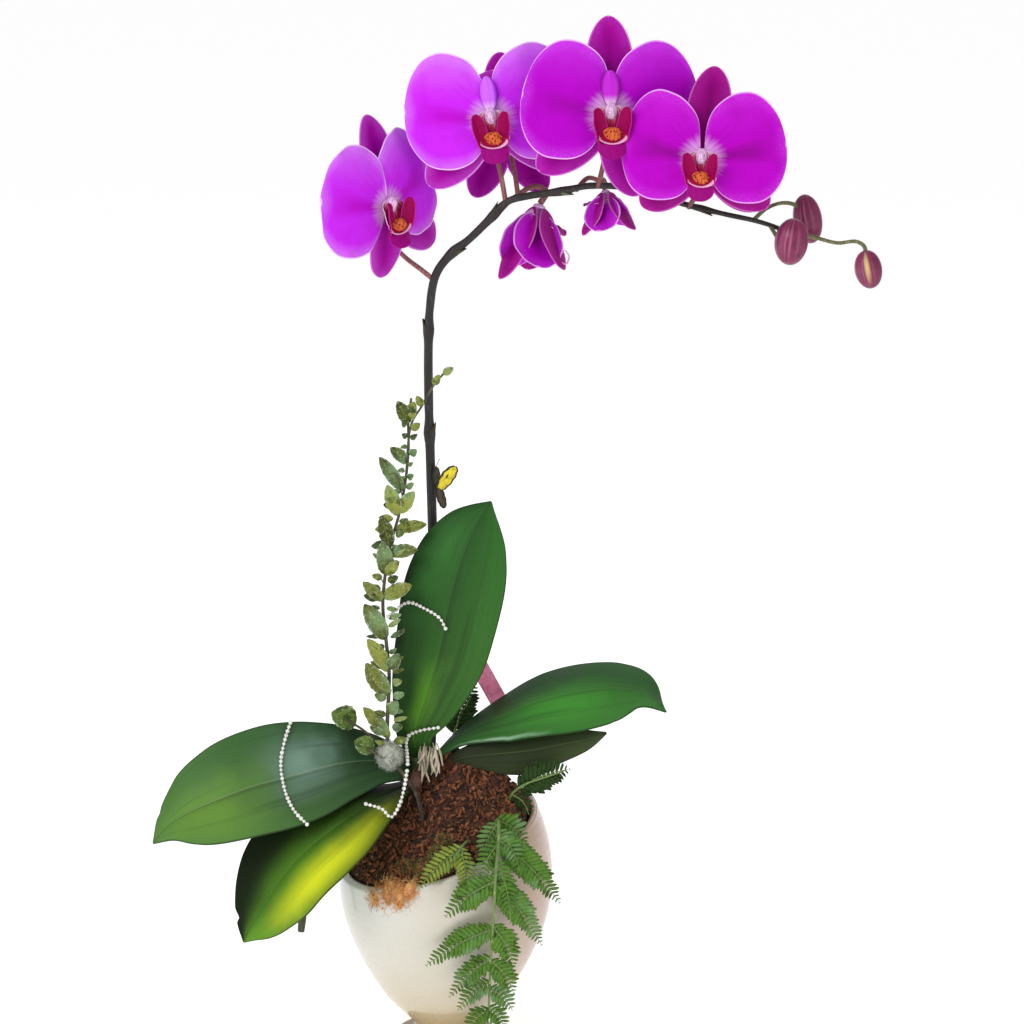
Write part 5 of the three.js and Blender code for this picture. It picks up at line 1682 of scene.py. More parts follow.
@dataclass
class Bloom:
    """One orchid flower: two broad petals, three sepals and the column."""

    letter: str
    centre: Triple
    yaw: float
    pitch: float
    roll: float
    scale: float
    petals: tuple[Tepal, ...]
    sepals: tuple[Tepal, ...]
    stalk: tuple[Triple, ...]
    petal_finish: PetalFinish
    sepal_finish: PetalFinish
    stance: Stance = Stance.OPEN
    petal_size: tuple[float, float] = (52.0, 37.0)
    sepal_size: tuple[float, float] = (58.0, 14.0)
    hood_finish: HoodFinish = field(default_factory=HoodFinish)
    tendril: tuple[Triple, ...] = ()
    crest: HoodFinish | None = None

    def matrix(self) -> Array:
        """The flower's own frame, whose -Y looks out of its face."""
        turn = Matrix.Rotation(math.radians(self.yaw), 4, "Z") @ Matrix.Rotation(math.radians(self.pitch), 4,
                                                                                 "X")
        turn = turn @ Matrix.Rotation(math.radians(self.roll), 4, "Y") @ Matrix.Scale(self.scale, 4)
        return np.array(Matrix.Translation(Vector(self.centre)) @ turn)

    def stalk_path(self) -> tuple[Triple, ...]:
        """The stalk's points, on to the back of the flower."""
        ends = moved(np.array([(0, 13, -3), (0, 4 + GAP / self.scale, -0.5)]), self.matrix())
        return (*self.stalk, tuple(ends[0]), tuple(ends[1]))

    def tepal(self, draft: Draft, tepal: Tepal, petal: bool, seed: int) -> None:
        """Adds one petal or sepal.

        Args:
            draft: where it is added.
            tepal: its direction.
            petal: a petal rather than a sepal.
            seed: sets its ripple.
        """
        nodding = self.stance is Stance.NODDING
        length, half = self.petal_size if petal else self.sepal_size
        length *= tepal.length
        half *= 0.5 if nodding and petal else 1
        root, point = (1.5, 0.92) if petal else (1.0, 1.1)
        rows, columns = (46, 34) if petal else (40, 20)
        t = np.linspace(0.05, PI - 0.02, rows)
        v = edge_to_edge(columns)
        c, s = math.cos(math.radians(tepal.angle)), math.sin(math.radians(tepal.angle))
        up = np.sign(c) * v
        a = root + length / 2 * (1 - np.cos(t))
        outer = t > PI / 2
        wide = np.broadcast_to((half * np.sin(t) ** np.where(outer, point, 1.0))[:, None], (rows, columns))
        along = np.broadcast_to(a[:, None], wide.shape)
        if petal and not nodding:
            high = half * 1.03 * np.sin(t) ** np.where(outer, 0.84, 0.5)
            low = half * 0.9 * np.sin(t) ** np.where(outer, 0.94, 0.42)
            wide = np.where(up > 0, high[:, None], low[:, None])
        b = wide * v
        if petal and not nodding:
            along = along + 0.16 * np.abs(b) * (0.5 + 0.5 * np.cos(t))[:, None]
        if petal:
            height = 3.2 * np.sin(PI * along / length) - 2.4 * (b / half) ** 2 - 1.4 * along / length
            ripple = 0.9 * np.sin(t * 3.4 + seed)[:, None] * v * np.abs(v) ** 2
            ripple = ripple + 0.45 * np.sin(t * 9 + 2 * seed)[:, None] * np.abs(v) ** 4
        else:
            height = 1.5 * (b / half) ** 2 - 3 * (along / length) ** 2
            ripple = 0.35 * np.sin(t * 5 + seed)[:, None] * np.abs(v) ** 2
        height = height + ripple - 0.35 * np.exp(-((v / 0.05) ** 2)) * np.sin(t)[:, None]
        flat = np.stack([along, b, height], axis=-1)
        cr, sr = math.cos(math.radians(tepal.reflex)), math.sin(math.radians(tepal.reflex))
        if petal:
            start = (3 * math.copysign(1, c) if nodding else 0, -0.6, 0)
        else:
            spread = 4 if nodding else 2
            start = (spread * c, 2.2, spread * s - 0.5)
        frame_matrix = self.matrix() @ blade_frame(start, (c * cr, sr, s * cr), (c * sr, -cr, s * sr))
        middle = moved(flat, frame_matrix)
        uv = np.stack([along / length, 0.5 + np.sign(c) * b / (2 * half)], axis=-1)
        inner = np.minimum((1 - np.abs(v)) * wide, a[-1] - along + 0.2 * np.abs(b))
        edge = np.maximum(inner, 0) * self.scale
        thick = 0.95 * self.scale * (1 - 0.6 * np.abs(v) ** 4) * np.minimum(1, 0.3 + wide / 6)
        draft.sheet(middle, thick, uv, edge, slot=0 if petal else 1)

    def build(self) -> Thing:
        """Makes the tepals, the column and the back of the flower.

        Returns:
            The flower without its lip.
        """
        draft = Draft()
        for k, petal in enumerate(self.petals):
            self.tepal(draft, petal, True, k + ord(self.letter))
        for k, sepal in enumerate(self.sepals):
            self.tepal(draft, sepal, False, 3 * k + ord(self.letter))
        place = self.matrix()
        hood = Draft()
        hood.ball((0, -4.2, 2.2), (3.3, 4.6, 5.6), 40, 26, axis=(0, -0.35, 1),
                  swell=lambda h, t: 1 + 0.1 * math.cos(2 * t) + 0.12 * math.exp(-((h - 0.95) / 0.1) ** 2))
        hood.ball((0, -7.2, 3.4), (2.2, 2.4, 3.2), 28, 18, axis=(0, -0.5, 1))
        hood.ball((0, 1.6, -0.5), (4.4, 2.5, 4.4), 24, 14)
        if self.stance is Stance.NODDING:
            hood.ball((0, -6, -4.5), (2.6, 3.5, 3.5), 24, 16)
        draft.merge(hood, place, 2)
        if self.crest:
            tall = Draft()
            tall.ball((0, -3.0, 15.5), (5.4, 2.2, 11.0), 40, 24, axis=(0, 0.05, 1))
            draft.merge(tall, place, 3)
        if self.stance is Stance.NODDING:
            Lip(self).lobes(draft, (), first_slot=3)
        if self.tendril:
            draft.tube(SmoothPath(self.tendril), (0.8, 0.6, 0.35), 9, 40, slot=7)
        return draft.make(f"flower_{self.letter}")

    def dress(self, piece: Thing) -> None:
        """Colours petals, sepals and column."""
        finishes = [self.petal_finish, self.sepal_finish, self.hood_finish]
        if self.stance is Stance.NODDING:
            finishes += Lip(self).finishes()
        if self.crest:
            finishes.append(self.crest)
        keep(piece, "petals", f"bloom_{self.letter}", *finishes)


@dataclass
class Lip:
    """The lip of a flower: speckled callus in a pale collar, two side lobes, throat and middle lobe."""

    bloom: Bloom
    callus: LobeFinish = LobeFinish("lip_callus", srgb(220, 108, 60), srgb(116, 6, 20), srgb(250, 214, 130),
                                    1.0, 0.01, 0.55, grain=1.9)
    side: LobeFinish = LobeFinish("lip_side", srgb(158, 0, 84), srgb(104, 0, 48), srgb(190, 40, 140), 0.3,
                                  0.4)
    middle: LobeFinish = LobeFinish("lip_middle", srgb(160, 4, 128), srgb(108, 0, 76), srgb(176, 40, 150),
                                    0.2, 0.4)
    throat: LobeFinish = LobeFinish("lip_throat", srgb(246, 206, 232), srgb(186, 20, 110),
                                    srgb(250, 226, 244), 0.2, 0.01, 0.75, srgb(150, 6, 60))
    rim: LobeFinish = LobeFinish("lip_rim", srgb(240, 176, 214), srgb(206, 80, 150), srgb(250, 226, 244),
                                 0.2, 0.01, 0.5)

    def finishes(self) -> list[LobeFinish]:
        """Callus, side, middle, throat and rim finishes, in slot order."""
        return [self.callus, self.side, self.middle, self.throat, self.rim]

    def lobes(self, draft: Draft, hands: tuple[int, ...], first_slot: int = 0) -> None:
        """Adds the lip's parts in the flower's frame.

        Args:
            draft: where they are added.
            hands: -1 and 1 for the two side lobes, or none.
            first_slot: material slot of the callus.
        """
        place = self.bloom.matrix()
        part = Draft()
        part.ball(
            (0.3, -9.2, -10.2), (5.5, 3.4, 4.2), 44, 28, axis=(0, -0.3, 1),
            swell=lambda h, t: 1 + 0.12 * math.cos(3 * t) * math.sin(PI * h) + 0.1 * math.cos(7 * t + 16 * h),
        )
        draft.merge(part, place, first_slot)
        specs = [
            ((0, -8.0, -12.0), (0, -0.36, -0.93), (0, -0.93, 0.36), 13.5, 8.6, -1.4, 2),
            ((0, -3.2, 5.5), (0, -0.3, -0.95), (0, -0.95, 0.3), 22.0, 9.6, 2.6, 3),
        ]
        specs += [((6.0 * h, -8.2, -15.5), (0.15 * h, -0.19, 0.96), (-0.5 * h, -0.86, 0.05), 22.0, 4.6, 1.8,
                   1) for h in hands]
        for origin, direction, facing, length, half, cup, slot in specs:
            draft.oval(length, half, (0.5, 0.9 if slot == 2 else 0.7), (34, 22), 0.04,
                       place @ blade_frame(origin, direction, facing),
                       lambda t, v, b: cup * (b / half) ** 2 + 0.4 * np.sin(t * 6) * np.abs(v) ** 3,
                       0.9 * self.bloom.scale, slot=first_slot + slot, thin=0.5)
        collar = np.array([(-9.2, -10.3, -10.0), (-7.8, -10.4, -12.8), (-3.6, -10.4, -15.2),
                           (1.5, -10.5, -15.8), (6.8, -10.5, -13.8), (9.4, -10.9, -10.6),
                           (10.0, -12.2, -8.8)])
        if hands:
            draft.tube(SmoothPath(moved(collar, place)), (0.2, 0.4, 0.5, 0.5, 0.9, 1.1, 0.2), 9, 40,
                       first_slot + 4)

    def build(self) -> Thing:
        """Makes the whole lip.

        Returns:
            The lip.
        """
        draft = Draft()
        self.lobes(draft, (-1, 1))
        return draft.make(f"lip_of_flower_{self.bloom.letter}")

    def dress(self, piece: Thing) -> None:
        """Colours the lip."""
        keep(piece, "lips", f"lip_{self.bloom.letter}", *self.finishes())


@dataclass
class Bud:
    """Closed bud with the seams of its sepals."""

    number: int
    centre: Triple
    radii: Triple
    tilt: Triple
    finish: BudFinish = field(default_factory=BudFinish)

    def build(self) -> Thing:
        """Makes the bud.

        Returns:
            The bud.
        """
        draft = Draft()
        draft.ball(self.centre, self.radii, 72, 48, axis=self.tilt,
                   swell=lambda h, t: 1 - 0.05 * abs(math.cos(1.5 * t)) ** 6 * math.sin(PI * h)
                   + 0.04 * math.sin(PI * h) * math.cos(t) + 0.012 * math.cos(9 * t))
        return draft.make(f"flower_bud_{self.number}")

    def dress(self, piece: Thing) -> None:
        """Colours the bud."""
        keep(piece, "buds", f"bud_{self.number}", self.finish)


# Ferns


@dataclass(frozen=True)
class Pinna:
    """One side branch of a frond: where it starts and ends and how wide it is."""

    base: Triple
    tip: Triple
    width: float
    sag: float = 2.0


@dataclass
class Frond:
    """Fern frond: a wiry stalk and side branches of small toothed leaflets."""

    name: str
    node: str
    stalk: tuple[Triple, ...]
    radii: tuple[float, ...]
    pinnae: tuple[Pinna, ...]
    facing: Triple
    finish: GreenFinish
    stalk_finish: StemFinish = StemFinish("fern_stalk", srgb(104, 132, 66), srgb(166, 186, 116),
                                          srgb(60, 84, 40))

    def leaflet(self) -> Thing:
        """One leaflet a metre long, to be scaled down by the tree."""
        draft = Draft()
        spine = ((0, 0.07), (0.2, 0.14), (0.48, 0.17), (0.74, 0.14), (0.92, 0.075), (1, 0.008))
        middle = np.zeros((6, 3, 3))
        for i, (x, half) in enumerate(spine):
            tooth = 0.014 if i % 2 else 0
            for j, side in enumerate((-1, 0, 1)):
                middle[i, j] = (1000 * x + (30 if side and i % 2 else 0), 1000 * side * (half + tooth),
                                1000 * (-0.07 * abs(side) - 0.12 * x * x))
        uv = np.zeros((6, 3, 2))
        uv[..., 0] = np.linspace(0, 1, 6)[:, None]
        uv[..., 1] = (0, 0.5, 1)
        draft.sheet(middle, 40, uv)
        return draft.make("leaflet")

    def build(self) -> Thing:
        """Sets leaflets along every branch by a geometry tree.

        Returns:
            The frond.
        """
        paths = []
        for pinna in self.pinnae:
            base, tip = np.array(pinna.base), np.array(pinna.tip)
            bow = unit(np.cross(tip - base, self.facing)) * pinna.sag
            bow = bow if bow[2] > 0 else -bow
            paths.append((SmoothPath([base, (base * 2 + tip) / 3 + bow, (base + tip * 2) / 3 + bow, tip]),
                          pinna))
        host = line_host([(path, (pinna.width,), 40) for path, pinna in paths])
        facing = unit(self.facing)
        looks = host.data.attributes.new("facing", "FLOAT_VECTOR", "POINT")
        looks.data.foreach_set("vector", np.tile(facing, len(host.data.vertices)).astype(np.float32))
        leaflet = self.leaflet()
        leaves = pinnule_graph().run(host, "leaflets", self.finish.make(), Piece=leaflet, Pitch=0.0029,
                                     Size=1.1, Splay=1.02)
        bpy.data.objects.remove(leaflet)
        stems = [(SmoothPath(self.stalk), self.radii, 90)]
        stems += [(path, (0.55, 0.4, 0.2), 26) for path, _ in paths]
        stalks = stem_graph().run(line_host(stems), "frond_stalks", self.stalk_finish.make(), Sides=8)
        return joined(self.name, [leaves, stalks])

    def dress(self, piece: Thing) -> None:
        """Hands the frond over."""
        keep(piece, "fern", self.node)


# Frosted pick


@dataclass
class FrostedPick:
    """Pick of frosted foliage: a stem of pointed leaves with a flocked tuft and round leaves at its foot."""

    stem: tuple[Triple, ...] = (
        (-12, -34, 152), (-18, -36, 184), (-27, -37, 199), (-36, -33, 212), (-36, -29, 267), (-38, -26, 288),
        (-40, -22, 310), (-38, -18, 333), (-35, -15, 349), (-29, -11, 370), (-25, -7, 391), (-23, -5, 411),
        (-23, -5, 431), (-21, -5, 445),
    )
    twig: tuple[Triple, ...] = ((-25, -7, 391), (-21, -6, 428), (-14, -5, 440), (-6, -5, 454), (0, -5, 461))
    leaves: tuple[tuple[float, float, float, float], ...] = (
        (223, -53, 244, 4.5), (251, -51, 274, 6), (239, -30, 248, 4.5), (288, -52, 312, 6),
        (267, -50, 290, 5), (313, -53, 326, 4), (315, -21, 324, 5), (269, -29, 280, 4.5),
        (330, -40, 353, 5.5), (347, -41, 369, 5), (359, -11, 363, 4), (344, -17, 347, 4.5),
        (384, -42, 407, 4.5), (368, -37, 389, 5), (370, -19, 385, 4.5), (403, -35, 413, 4),
        (428, -30, 444, 4.5), (431, -19, 443, 4), (255, -47, 267, 4), (330, -29, 340, 3.5),
    )
    tuft: tuple[float, float, float, float] = (-36, -34, 211, 8.5)
    rounds: tuple[tuple[Triple, float, Triple], ...] = (
        ((-67, -19, 232), 9, (0.3, -1, 0.5)), ((-53, -32, 217), 7, (0.1, -1, 0.6)),
    )
    sprigs: int = 60
    flock: float = 2200000.0
    finish: GreenFinish = GreenFinish("frosted_leaf", srgb(80, 92, 34), srgb(146, 154, 70), srgb(34, 42, 20),
                                      srgb(206, 208, 188), 0.6)
    dark_finish: GreenFinish = GreenFinish("dark_round_leaf", srgb(50, 70, 26), srgb(96, 122, 48),
                                           srgb(18, 28, 12), srgb(214, 218, 196), 0.5)
    stem_finish: StemFinish = StemFinish("frosted_stem", srgb(44, 27, 18), srgb(110, 102, 78),
                                         srgb(28, 20, 14), srgb(72, 70, 46), (0.188, 0.206))
    tuft_finish: CrumbFinish = CrumbFinish("white_flock", srgb(150, 158, 140), srgb(214, 218, 206),
                                           srgb(252, 252, 248), 1.2, 0.3)

    def blade(self, draft: Draft, base: Array, tip: Array, half: float, facing: Sequence[float], tone: float,
              slot: int = 0) -> None:
        """Adds one pointed leaf.

        Args:
            draft: where it is added.
            base: its foot.
            tip: its point.
            half: half its width.
            facing: the way that its face looks.
            tone: its shade, 0 to 1.
            slot: material index.
        """
        length = float(np.linalg.norm(tip - base))
        size = (18, 11) if length > 14 else (10, 7)
        draft.oval(length, half, (1.0, 1.5), size, 0.02, blade_frame(base, tip - base, facing),
                   lambda t, v, b: 0.08 * b * b + 1.4 * np.sin(t) ** 2 - 0.05 * np.abs(b), wave=14,
                   slot=slot, tone=tone)

    def build(self) -> Thing:
        """Makes the pick.

        Returns:
            The pick.
        """
        rng = np.random.default_rng(5)
        draft = Draft()
        heights = [p[2] for p in self.stem]
        for stem_z, tip_x, tip_z, half in self.leaves:
            base = np.array([float(np.interp(stem_z, heights, [p[k] for p in self.stem])) for k in range(3)])
            tip = np.array([tip_x, base[1] - 3 + 5 * (rng.random() - 0.5), tip_z])
            self.blade(draft, base, tip, half, (0.5 * (rng.random() - 0.5), -1, 0.3), float(rng.random()))
        for k, base in enumerate(self.twig[2:]):
            foot = np.array(base)
            self.blade(draft, foot, foot + 8 * unit((k - 0.5, -0.3, 1)), 2.6, (0, -1, 0.2), 0.8)
        for k in range(self.sprigs):
            z = 214 + 226 * (k + rng.random()) / self.sprigs
            foot = np.array([float(np.interp(z, heights, [p[j] for p in self.stem])) for j in range(3)])
            side = 1 if k % 2 else -1
            reach = (12 if z < 375 else 7) * (0.5 + 0.6 * rng.random())
            tip = foot + (side * reach, -2 - 3 * rng.random(), reach * (rng.random() - 0.1))
            self.blade(draft, foot + (tip - foot) * 0.25, tip, 1.5 + 1.6 * rng.random(),
                       (0.4 * side, -1, 0.3), float(rng.random()), int(rng.random() < 0.45))
        for centre, radius, facing in self.rounds:
            direction = unit((-0.9, -0.1, 0.5))
            foot = np.array(centre) - direction * radius
            self.blade(draft, foot, foot + direction * 2 * radius, radius * 0.9, facing, 0.9, 1)
        foliage = draft.make("pick_leaves")
        paint(foliage, self.finish.make(), self.dark_finish.make())
        centre, radius = self.tuft[:3], self.tuft[3]
        stems = [(SmoothPath(self.stem), (1.5, 1.4, 1.2, 1, 0.8), 150),
                 (SmoothPath(self.twig), (0.8, 0.7), 60)]
        for place, _, _ in self.rounds:
            elbow = (place[0] + 14, place[1] - 8, place[2] - 6)
            stems.append((SmoothPath([centre, elbow, place]), (0.9, 0.8), 24))
        for start, end in (((-38, -26, 322), (-46, -27, 331)), ((-40, -24, 296), (-53, -26, 304)),
                           ((-37, -28, 262), (-48, -30, 268)), ((-27, -10, 380), (-36, -14, 396))):
            stems.append((SmoothPath([start, ((start[0] + end[0]) / 2, start[1] - 2, end[2]), end]),
                          (0.4, 0.3), 12))
        wires = stem_graph().run(line_host(stems), "pick_wires", self.stem_finish.make(), Sides=9)
        core_draft = Draft()
        core_draft.ball(centre, (radius * 0.86, radius * 0.86, radius), 30, 22,
                        swell=lambda h, t: 1 + 0.15 * wobble(9 * math.cos(t), 9 * math.sin(t), 18 * h, 3.0))
        core = core_draft.make("flock_core")
        flock = self.tuft_finish.make()
        paint(core, flock)
        wisps = scattered(core.data.copy(), fibre(), flock, self.flock, 0.9, (0.3, 0.6), 2)
        return joined("frosted_foliage_pick", [foliage, wires, core, wisps])

    def dress(self, piece: Thing) -> None:
        """Hands the pick over."""
        keep(piece, "frosted", "frosted_pick")


# Beads, butterfly and label


@dataclass
class BeadStrand:
    """Pearly beads threaded close together on a stiff wire."""

    name: str
    node: str
    points: tuple[Triple, ...]
    pitch: float = 2.9
    bead: float = 1.3
    wire: float = 0.35
    finish: BeadFinish = field(default_factory=BeadFinish)

    def build(self) -> Thing:
        """Strings the beads by a geometry tree.

        Returns:
            The strand.
        """
        host = line_host([(SmoothPath(self.points), (1.0,), 160)])
        return bead_graph().run(host, self.name, self.finish.make(), Pitch=self.pitch * MM,
                                Bead=self.bead * MM, Wire=self.wire * MM)

    def dress(self, piece: Thing) -> None:
        """Hands the strand over."""
        keep(piece, "beads", self.node)


@dataclass
class Butterfly:
    """Small paper butterfly with a slim body, clipped to the spike."""

    body: tuple[Triple, ...] = ((-5.6, 7.4, 397), (-5.4, 7.1, 388), (-4, 6.2, 379))
    finish: WingFinish = field(default_factory=WingFinish)
    dark_finish: WingFinish = WingFinish("butterfly_dark_wing", srgb(70, 60, 40), srgb(24, 18, 16))
    body_finish: StemFinish = StemFinish("butterfly_body", srgb(54, 44, 30), srgb(120, 100, 60),
                                         srgb(26, 20, 14))

    def wing(self, draft: Draft, base: Triple, direction: Triple, facing: Triple, length: float, half: float,
             slot: int = 0) -> None:
        """Adds one wing.

        Args:
            draft: where it is added.
            base: its root.
            direction: the way that it points.
            facing: the way that its face looks.
            length: its length.
            half: half its width.
            slot: material index.
        """
        draft.oval(length, half, (0.85, 0.85), (36, 24), 0.03, blade_frame(base, direction, facing),
                   lambda t, v, b: 0.6 * np.cos(3 * v) * np.sin(t), 0.5, wave=11, start=-1, slot=slot)

    def build(self) -> Thing:
        """Makes wings, body and feelers.

        Returns:
            The butterfly.
        """
        draft = Draft()
        self.wing(draft, (-3.0, 5.6, 382), (0.5, -0.3, 0.8), (0.35, -0.9, -0.1), 22, 5.2)
        self.wing(draft, (-4.0, 5.4, 384), (0.28, -0.3, -0.9), (0.4, -0.9, 0.1), 16, 3.2, 2)
        self.wing(draft, (-4.6, 5.2, 384), (-0.02, -0.2, 0.98), (0.5, -0.9, 0.1), 15, 2.8, 2)
        draft.tube(SmoothPath(self.body), (1, 1.6, 1.5, 0.7), 14, 30, slot=1,
                   ripple=lambda u, t: 1 + 0.08 * np.sin(50 * u))
        for reach in (-1.6, 1.4):
            draft.tube(SmoothPath([(-5.6, 7.4, 396.5), (-5.6 + reach, 6.4, 400),
                                   (-5.4 + 2 * reach, 5.6, 403)]), (0.22, 0.2), 6, 10, slot=1)
        return draft.make("paper_butterfly")

    def dress(self, piece: Thing) -> None:
        """Paints wings and body."""
        keep(piece, "butterfly", "butterfly", self.finish, self.body_finish, self.dark_finish)


@dataclass
class SlipLabel:
    """Pink plastic strip with a loop that slips round the spike."""

    top: Triple = (-1, 19, 302)
    end: Triple = (46, 52, 205)
    width: float = 12.0
    loop_at: tuple[float, float] = (-8.6, 12.6)
    finish: LabelFinish = field(default_factory=LabelFinish)

    def build(self) -> Thing:
        """Makes the strip, its neck and its loop.

        Returns:
            The label.
        """
        top, end = np.array(self.top, float), np.array(self.end, float)
        rows, columns = 60, 9
        place = blade_frame(top, end - top, (0.2, -1, -0.4))
        length = float(np.linalg.norm(end - top))
        middle = np.zeros((rows, columns, 3))
        for i, s in enumerate(np.linspace(0, 1, rows)):
            ends = min(s * length, (1 - s) * length)
            half = self.width / 2 * min(1.0, 0.72 + 0.28 * math.sin(min(1, ends / 5) * PI / 2))
            for j, w in enumerate(np.linspace(-1, 1, columns)):
                middle[i, j] = (s * length, w * half, 0.5 * math.sin(s * 5) + 0.25 * w * w)
        draft = Draft()
        draft.sheet(moved(middle, place), 0.8)
        turns = np.linspace(0, 2 * PI, 49)[:-1]
        ring = []
        for radius, z in ((4.0, 298), (5.0, 297.8), (5.3, 298.4), (5.3, 304.6), (5.0, 305.2), (4.0, 305)):
            ring.append([(self.loop_at[0] + radius * math.cos(t), self.loop_at[1] + radius * math.sin(t),
                          z) for t in turns])
        ring.append(ring[0])
        draft.add(np.array(ring), grid_faces(len(ring), len(turns), wrap=True))
        draft.tube(SmoothPath([(-5.6, 15.8, 301.5), (-3.4, 17.6, 301.5), (-0.4, 19.6, 300.5)]),
                   (2.6, 2.5, 2.6), 16, 8)
        return draft.make("pink_slip_label")

    def dress(self, piece: Thing) -> None:
        """Colours the label."""
        keep(piece, "label", "plant_label", self.finish)


# The plant's own data

PURPLE = PetalFinish("petal_bright", srgb(202, 40, 240), srgb(186, 0, 198), srgb(212, 128, 244),
                     srgb(238, 200, 250), srgb(240, 196, 246), veins=0.25, root_reach=0.32)
DEEP_PURPLE = PetalFinish("petal_deep", srgb(178, 0, 196), srgb(158, 0, 166), srgb(206, 70, 236),
                          srgb(236, 184, 248), srgb(240, 196, 246), veins=0.25, margin=0.35, root_reach=0.32)
DARK_PURPLE = PetalFinish("petal_dark", srgb(182, 0, 194), srgb(142, 0, 140), srgb(204, 50, 222),
                          srgb(232, 170, 242), srgb(236, 186, 242), veins=0.25, margin=0.35, root_reach=0.32)
SEPAL_BRIGHT = PetalFinish("sepal_bright", srgb(170, 2, 164), srgb(130, 0, 118), srgb(200, 80, 210),
                           srgb(222, 150, 234), srgb(196, 70, 196), band=0.5, root_reach=0.05, margin=0.4)
SEPAL_DEEP = PetalFinish("sepal_deep", srgb(162, 0, 150), srgb(116, 0, 100), srgb(186, 46, 184),
                         srgb(216, 130, 220), srgb(180, 50, 170), band=0.5, root_reach=0.05, margin=0.4)
SEPAL_DARK = PetalFinish("sepal_dark", srgb(154, 0, 130), srgb(100, 0, 80), srgb(178, 36, 156),
                         srgb(206, 110, 196), srgb(166, 40, 140), band=0.5, root_reach=0.05, margin=0.4)


def open_petals(reflex: float) -> tuple[Tepal, ...]:
    """The usual two petals of an open flower."""
    return (Tepal(9, reflex), Tepal(171, reflex))


def blooms() -> list[Bloom]:
    """The eight flowers, left to right by their letters."""
    front = (Tepal(90, 16, 1), Tepal(218, 12, 0.88), Tepal(318, 12, 0.88))
    return [
        Bloom(
            "a", (-36, -1, 569), 44, 0, -8, 1.02, (Tepal(20, 12), Tepal(165, 1)),
            (Tepal(80, 15, 1), Tepal(270, 9, 0.76), Tepal(326, 7, 0.97)),
            ((-6, 7, 521), (-14, 11, 527), (-25, 21, 534), (-36, 24, 545), (-43, 20, 557)), PURPLE,
            SEPAL_BRIGHT,
        ),
        Bloom("b", (32, -8, 627), -3, 8, -7, 1.07, open_petals(6),
              (Tepal(84, 42, 0.55), Tepal(221, 5, 0.97), Tepal(320, 9, 0.95)),
              ((41, 0, 571), (38, 2, 588), (34, 3, 608)), PURPLE, SEPAL_BRIGHT,
              crest=HoodFinish("column_crest_bright", srgb(204, 96, 244), srgb(160, 0, 206), True)),
        Bloom("c", (107, -34, 632), 3, 6, -2, 1.07, (Tepal(8, 4), Tepal(166, 4)),
              (Tepal(89, 10, 0.94), Tepal(219, 9, 0.92), Tepal(287, 4, 0.88)),
              ((100, -9, 583), (104, -15, 602), (107, -22, 618)), DEEP_PURPLE, SEPAL_DEEP,
              crest=HoodFinish("column_crest_deep", srgb(190, 16, 206), srgb(140, 0, 150), True)),
        Bloom("d", (164, -56, 606), -10, 8, 1, 0.99, open_petals(8),
              (Tepal(86, 27, 1), Tepal(222, 12, 0.92), Tepal(321, 10, 0.88)),
              ((158, -16, 571), (163, -28, 582), (166, -42, 594)), DARK_PURPLE, SEPAL_DARK),
        Bloom("e", (40, 53, 616), 180, 8, 4, 0.88, open_petals(8),
              (Tepal(90, 14, 0.95), Tepal(242, 10, 0.95), Tepal(298, 10, 0.95)),
              ((49, -1, 574), (47, 9, 588), (43, 22, 606)), DEEP_PURPLE, SEPAL_DEEP),
        Bloom(
            "f", (62, 27, 565), -60, 74, 0, 0.96, (Tepal(10, -64, 0.8), Tepal(168, -76, 0.8)),
            (Tepal(90, -80, 0.95), Tepal(215, -70, 0.8), Tepal(330, -60, 0.78)),
            ((24, 3, 554), (33, 13, 561), (46, 23, 573), (60, 28, 580)), DARK_PURPLE, SEPAL_DARK,
            Stance.NODDING,
            tendril=(
                (73, 15, 541), (76, 12, 533), (80, 11, 531), (82, 11, 536), (79, 11, 540), (76.5, 11, 537),
            ),
        ),
        Bloom("g", (106, 12, 577), 60, 88, 0, 0.66, (Tepal(10, -58, 0.75), Tepal(168, -60, 0.75)),
              (Tepal(90, -58, 0.78), Tepal(215, -66, 0.8), Tepal(330, -60, 0.74)),
              ((86, -6, 581), (94, 2, 588), (103, 9, 585)), DARK_PURPLE, SEPAL_DARK, Stance.NODDING),
        Bloom("h", (170, 14, 600), 176, 6, -4, 0.92, open_petals(8), front,
              ((140, -14, 579), (150, -6, 586), (162, 2, 594)), DARK_PURPLE, SEPAL_DARK),
    ]


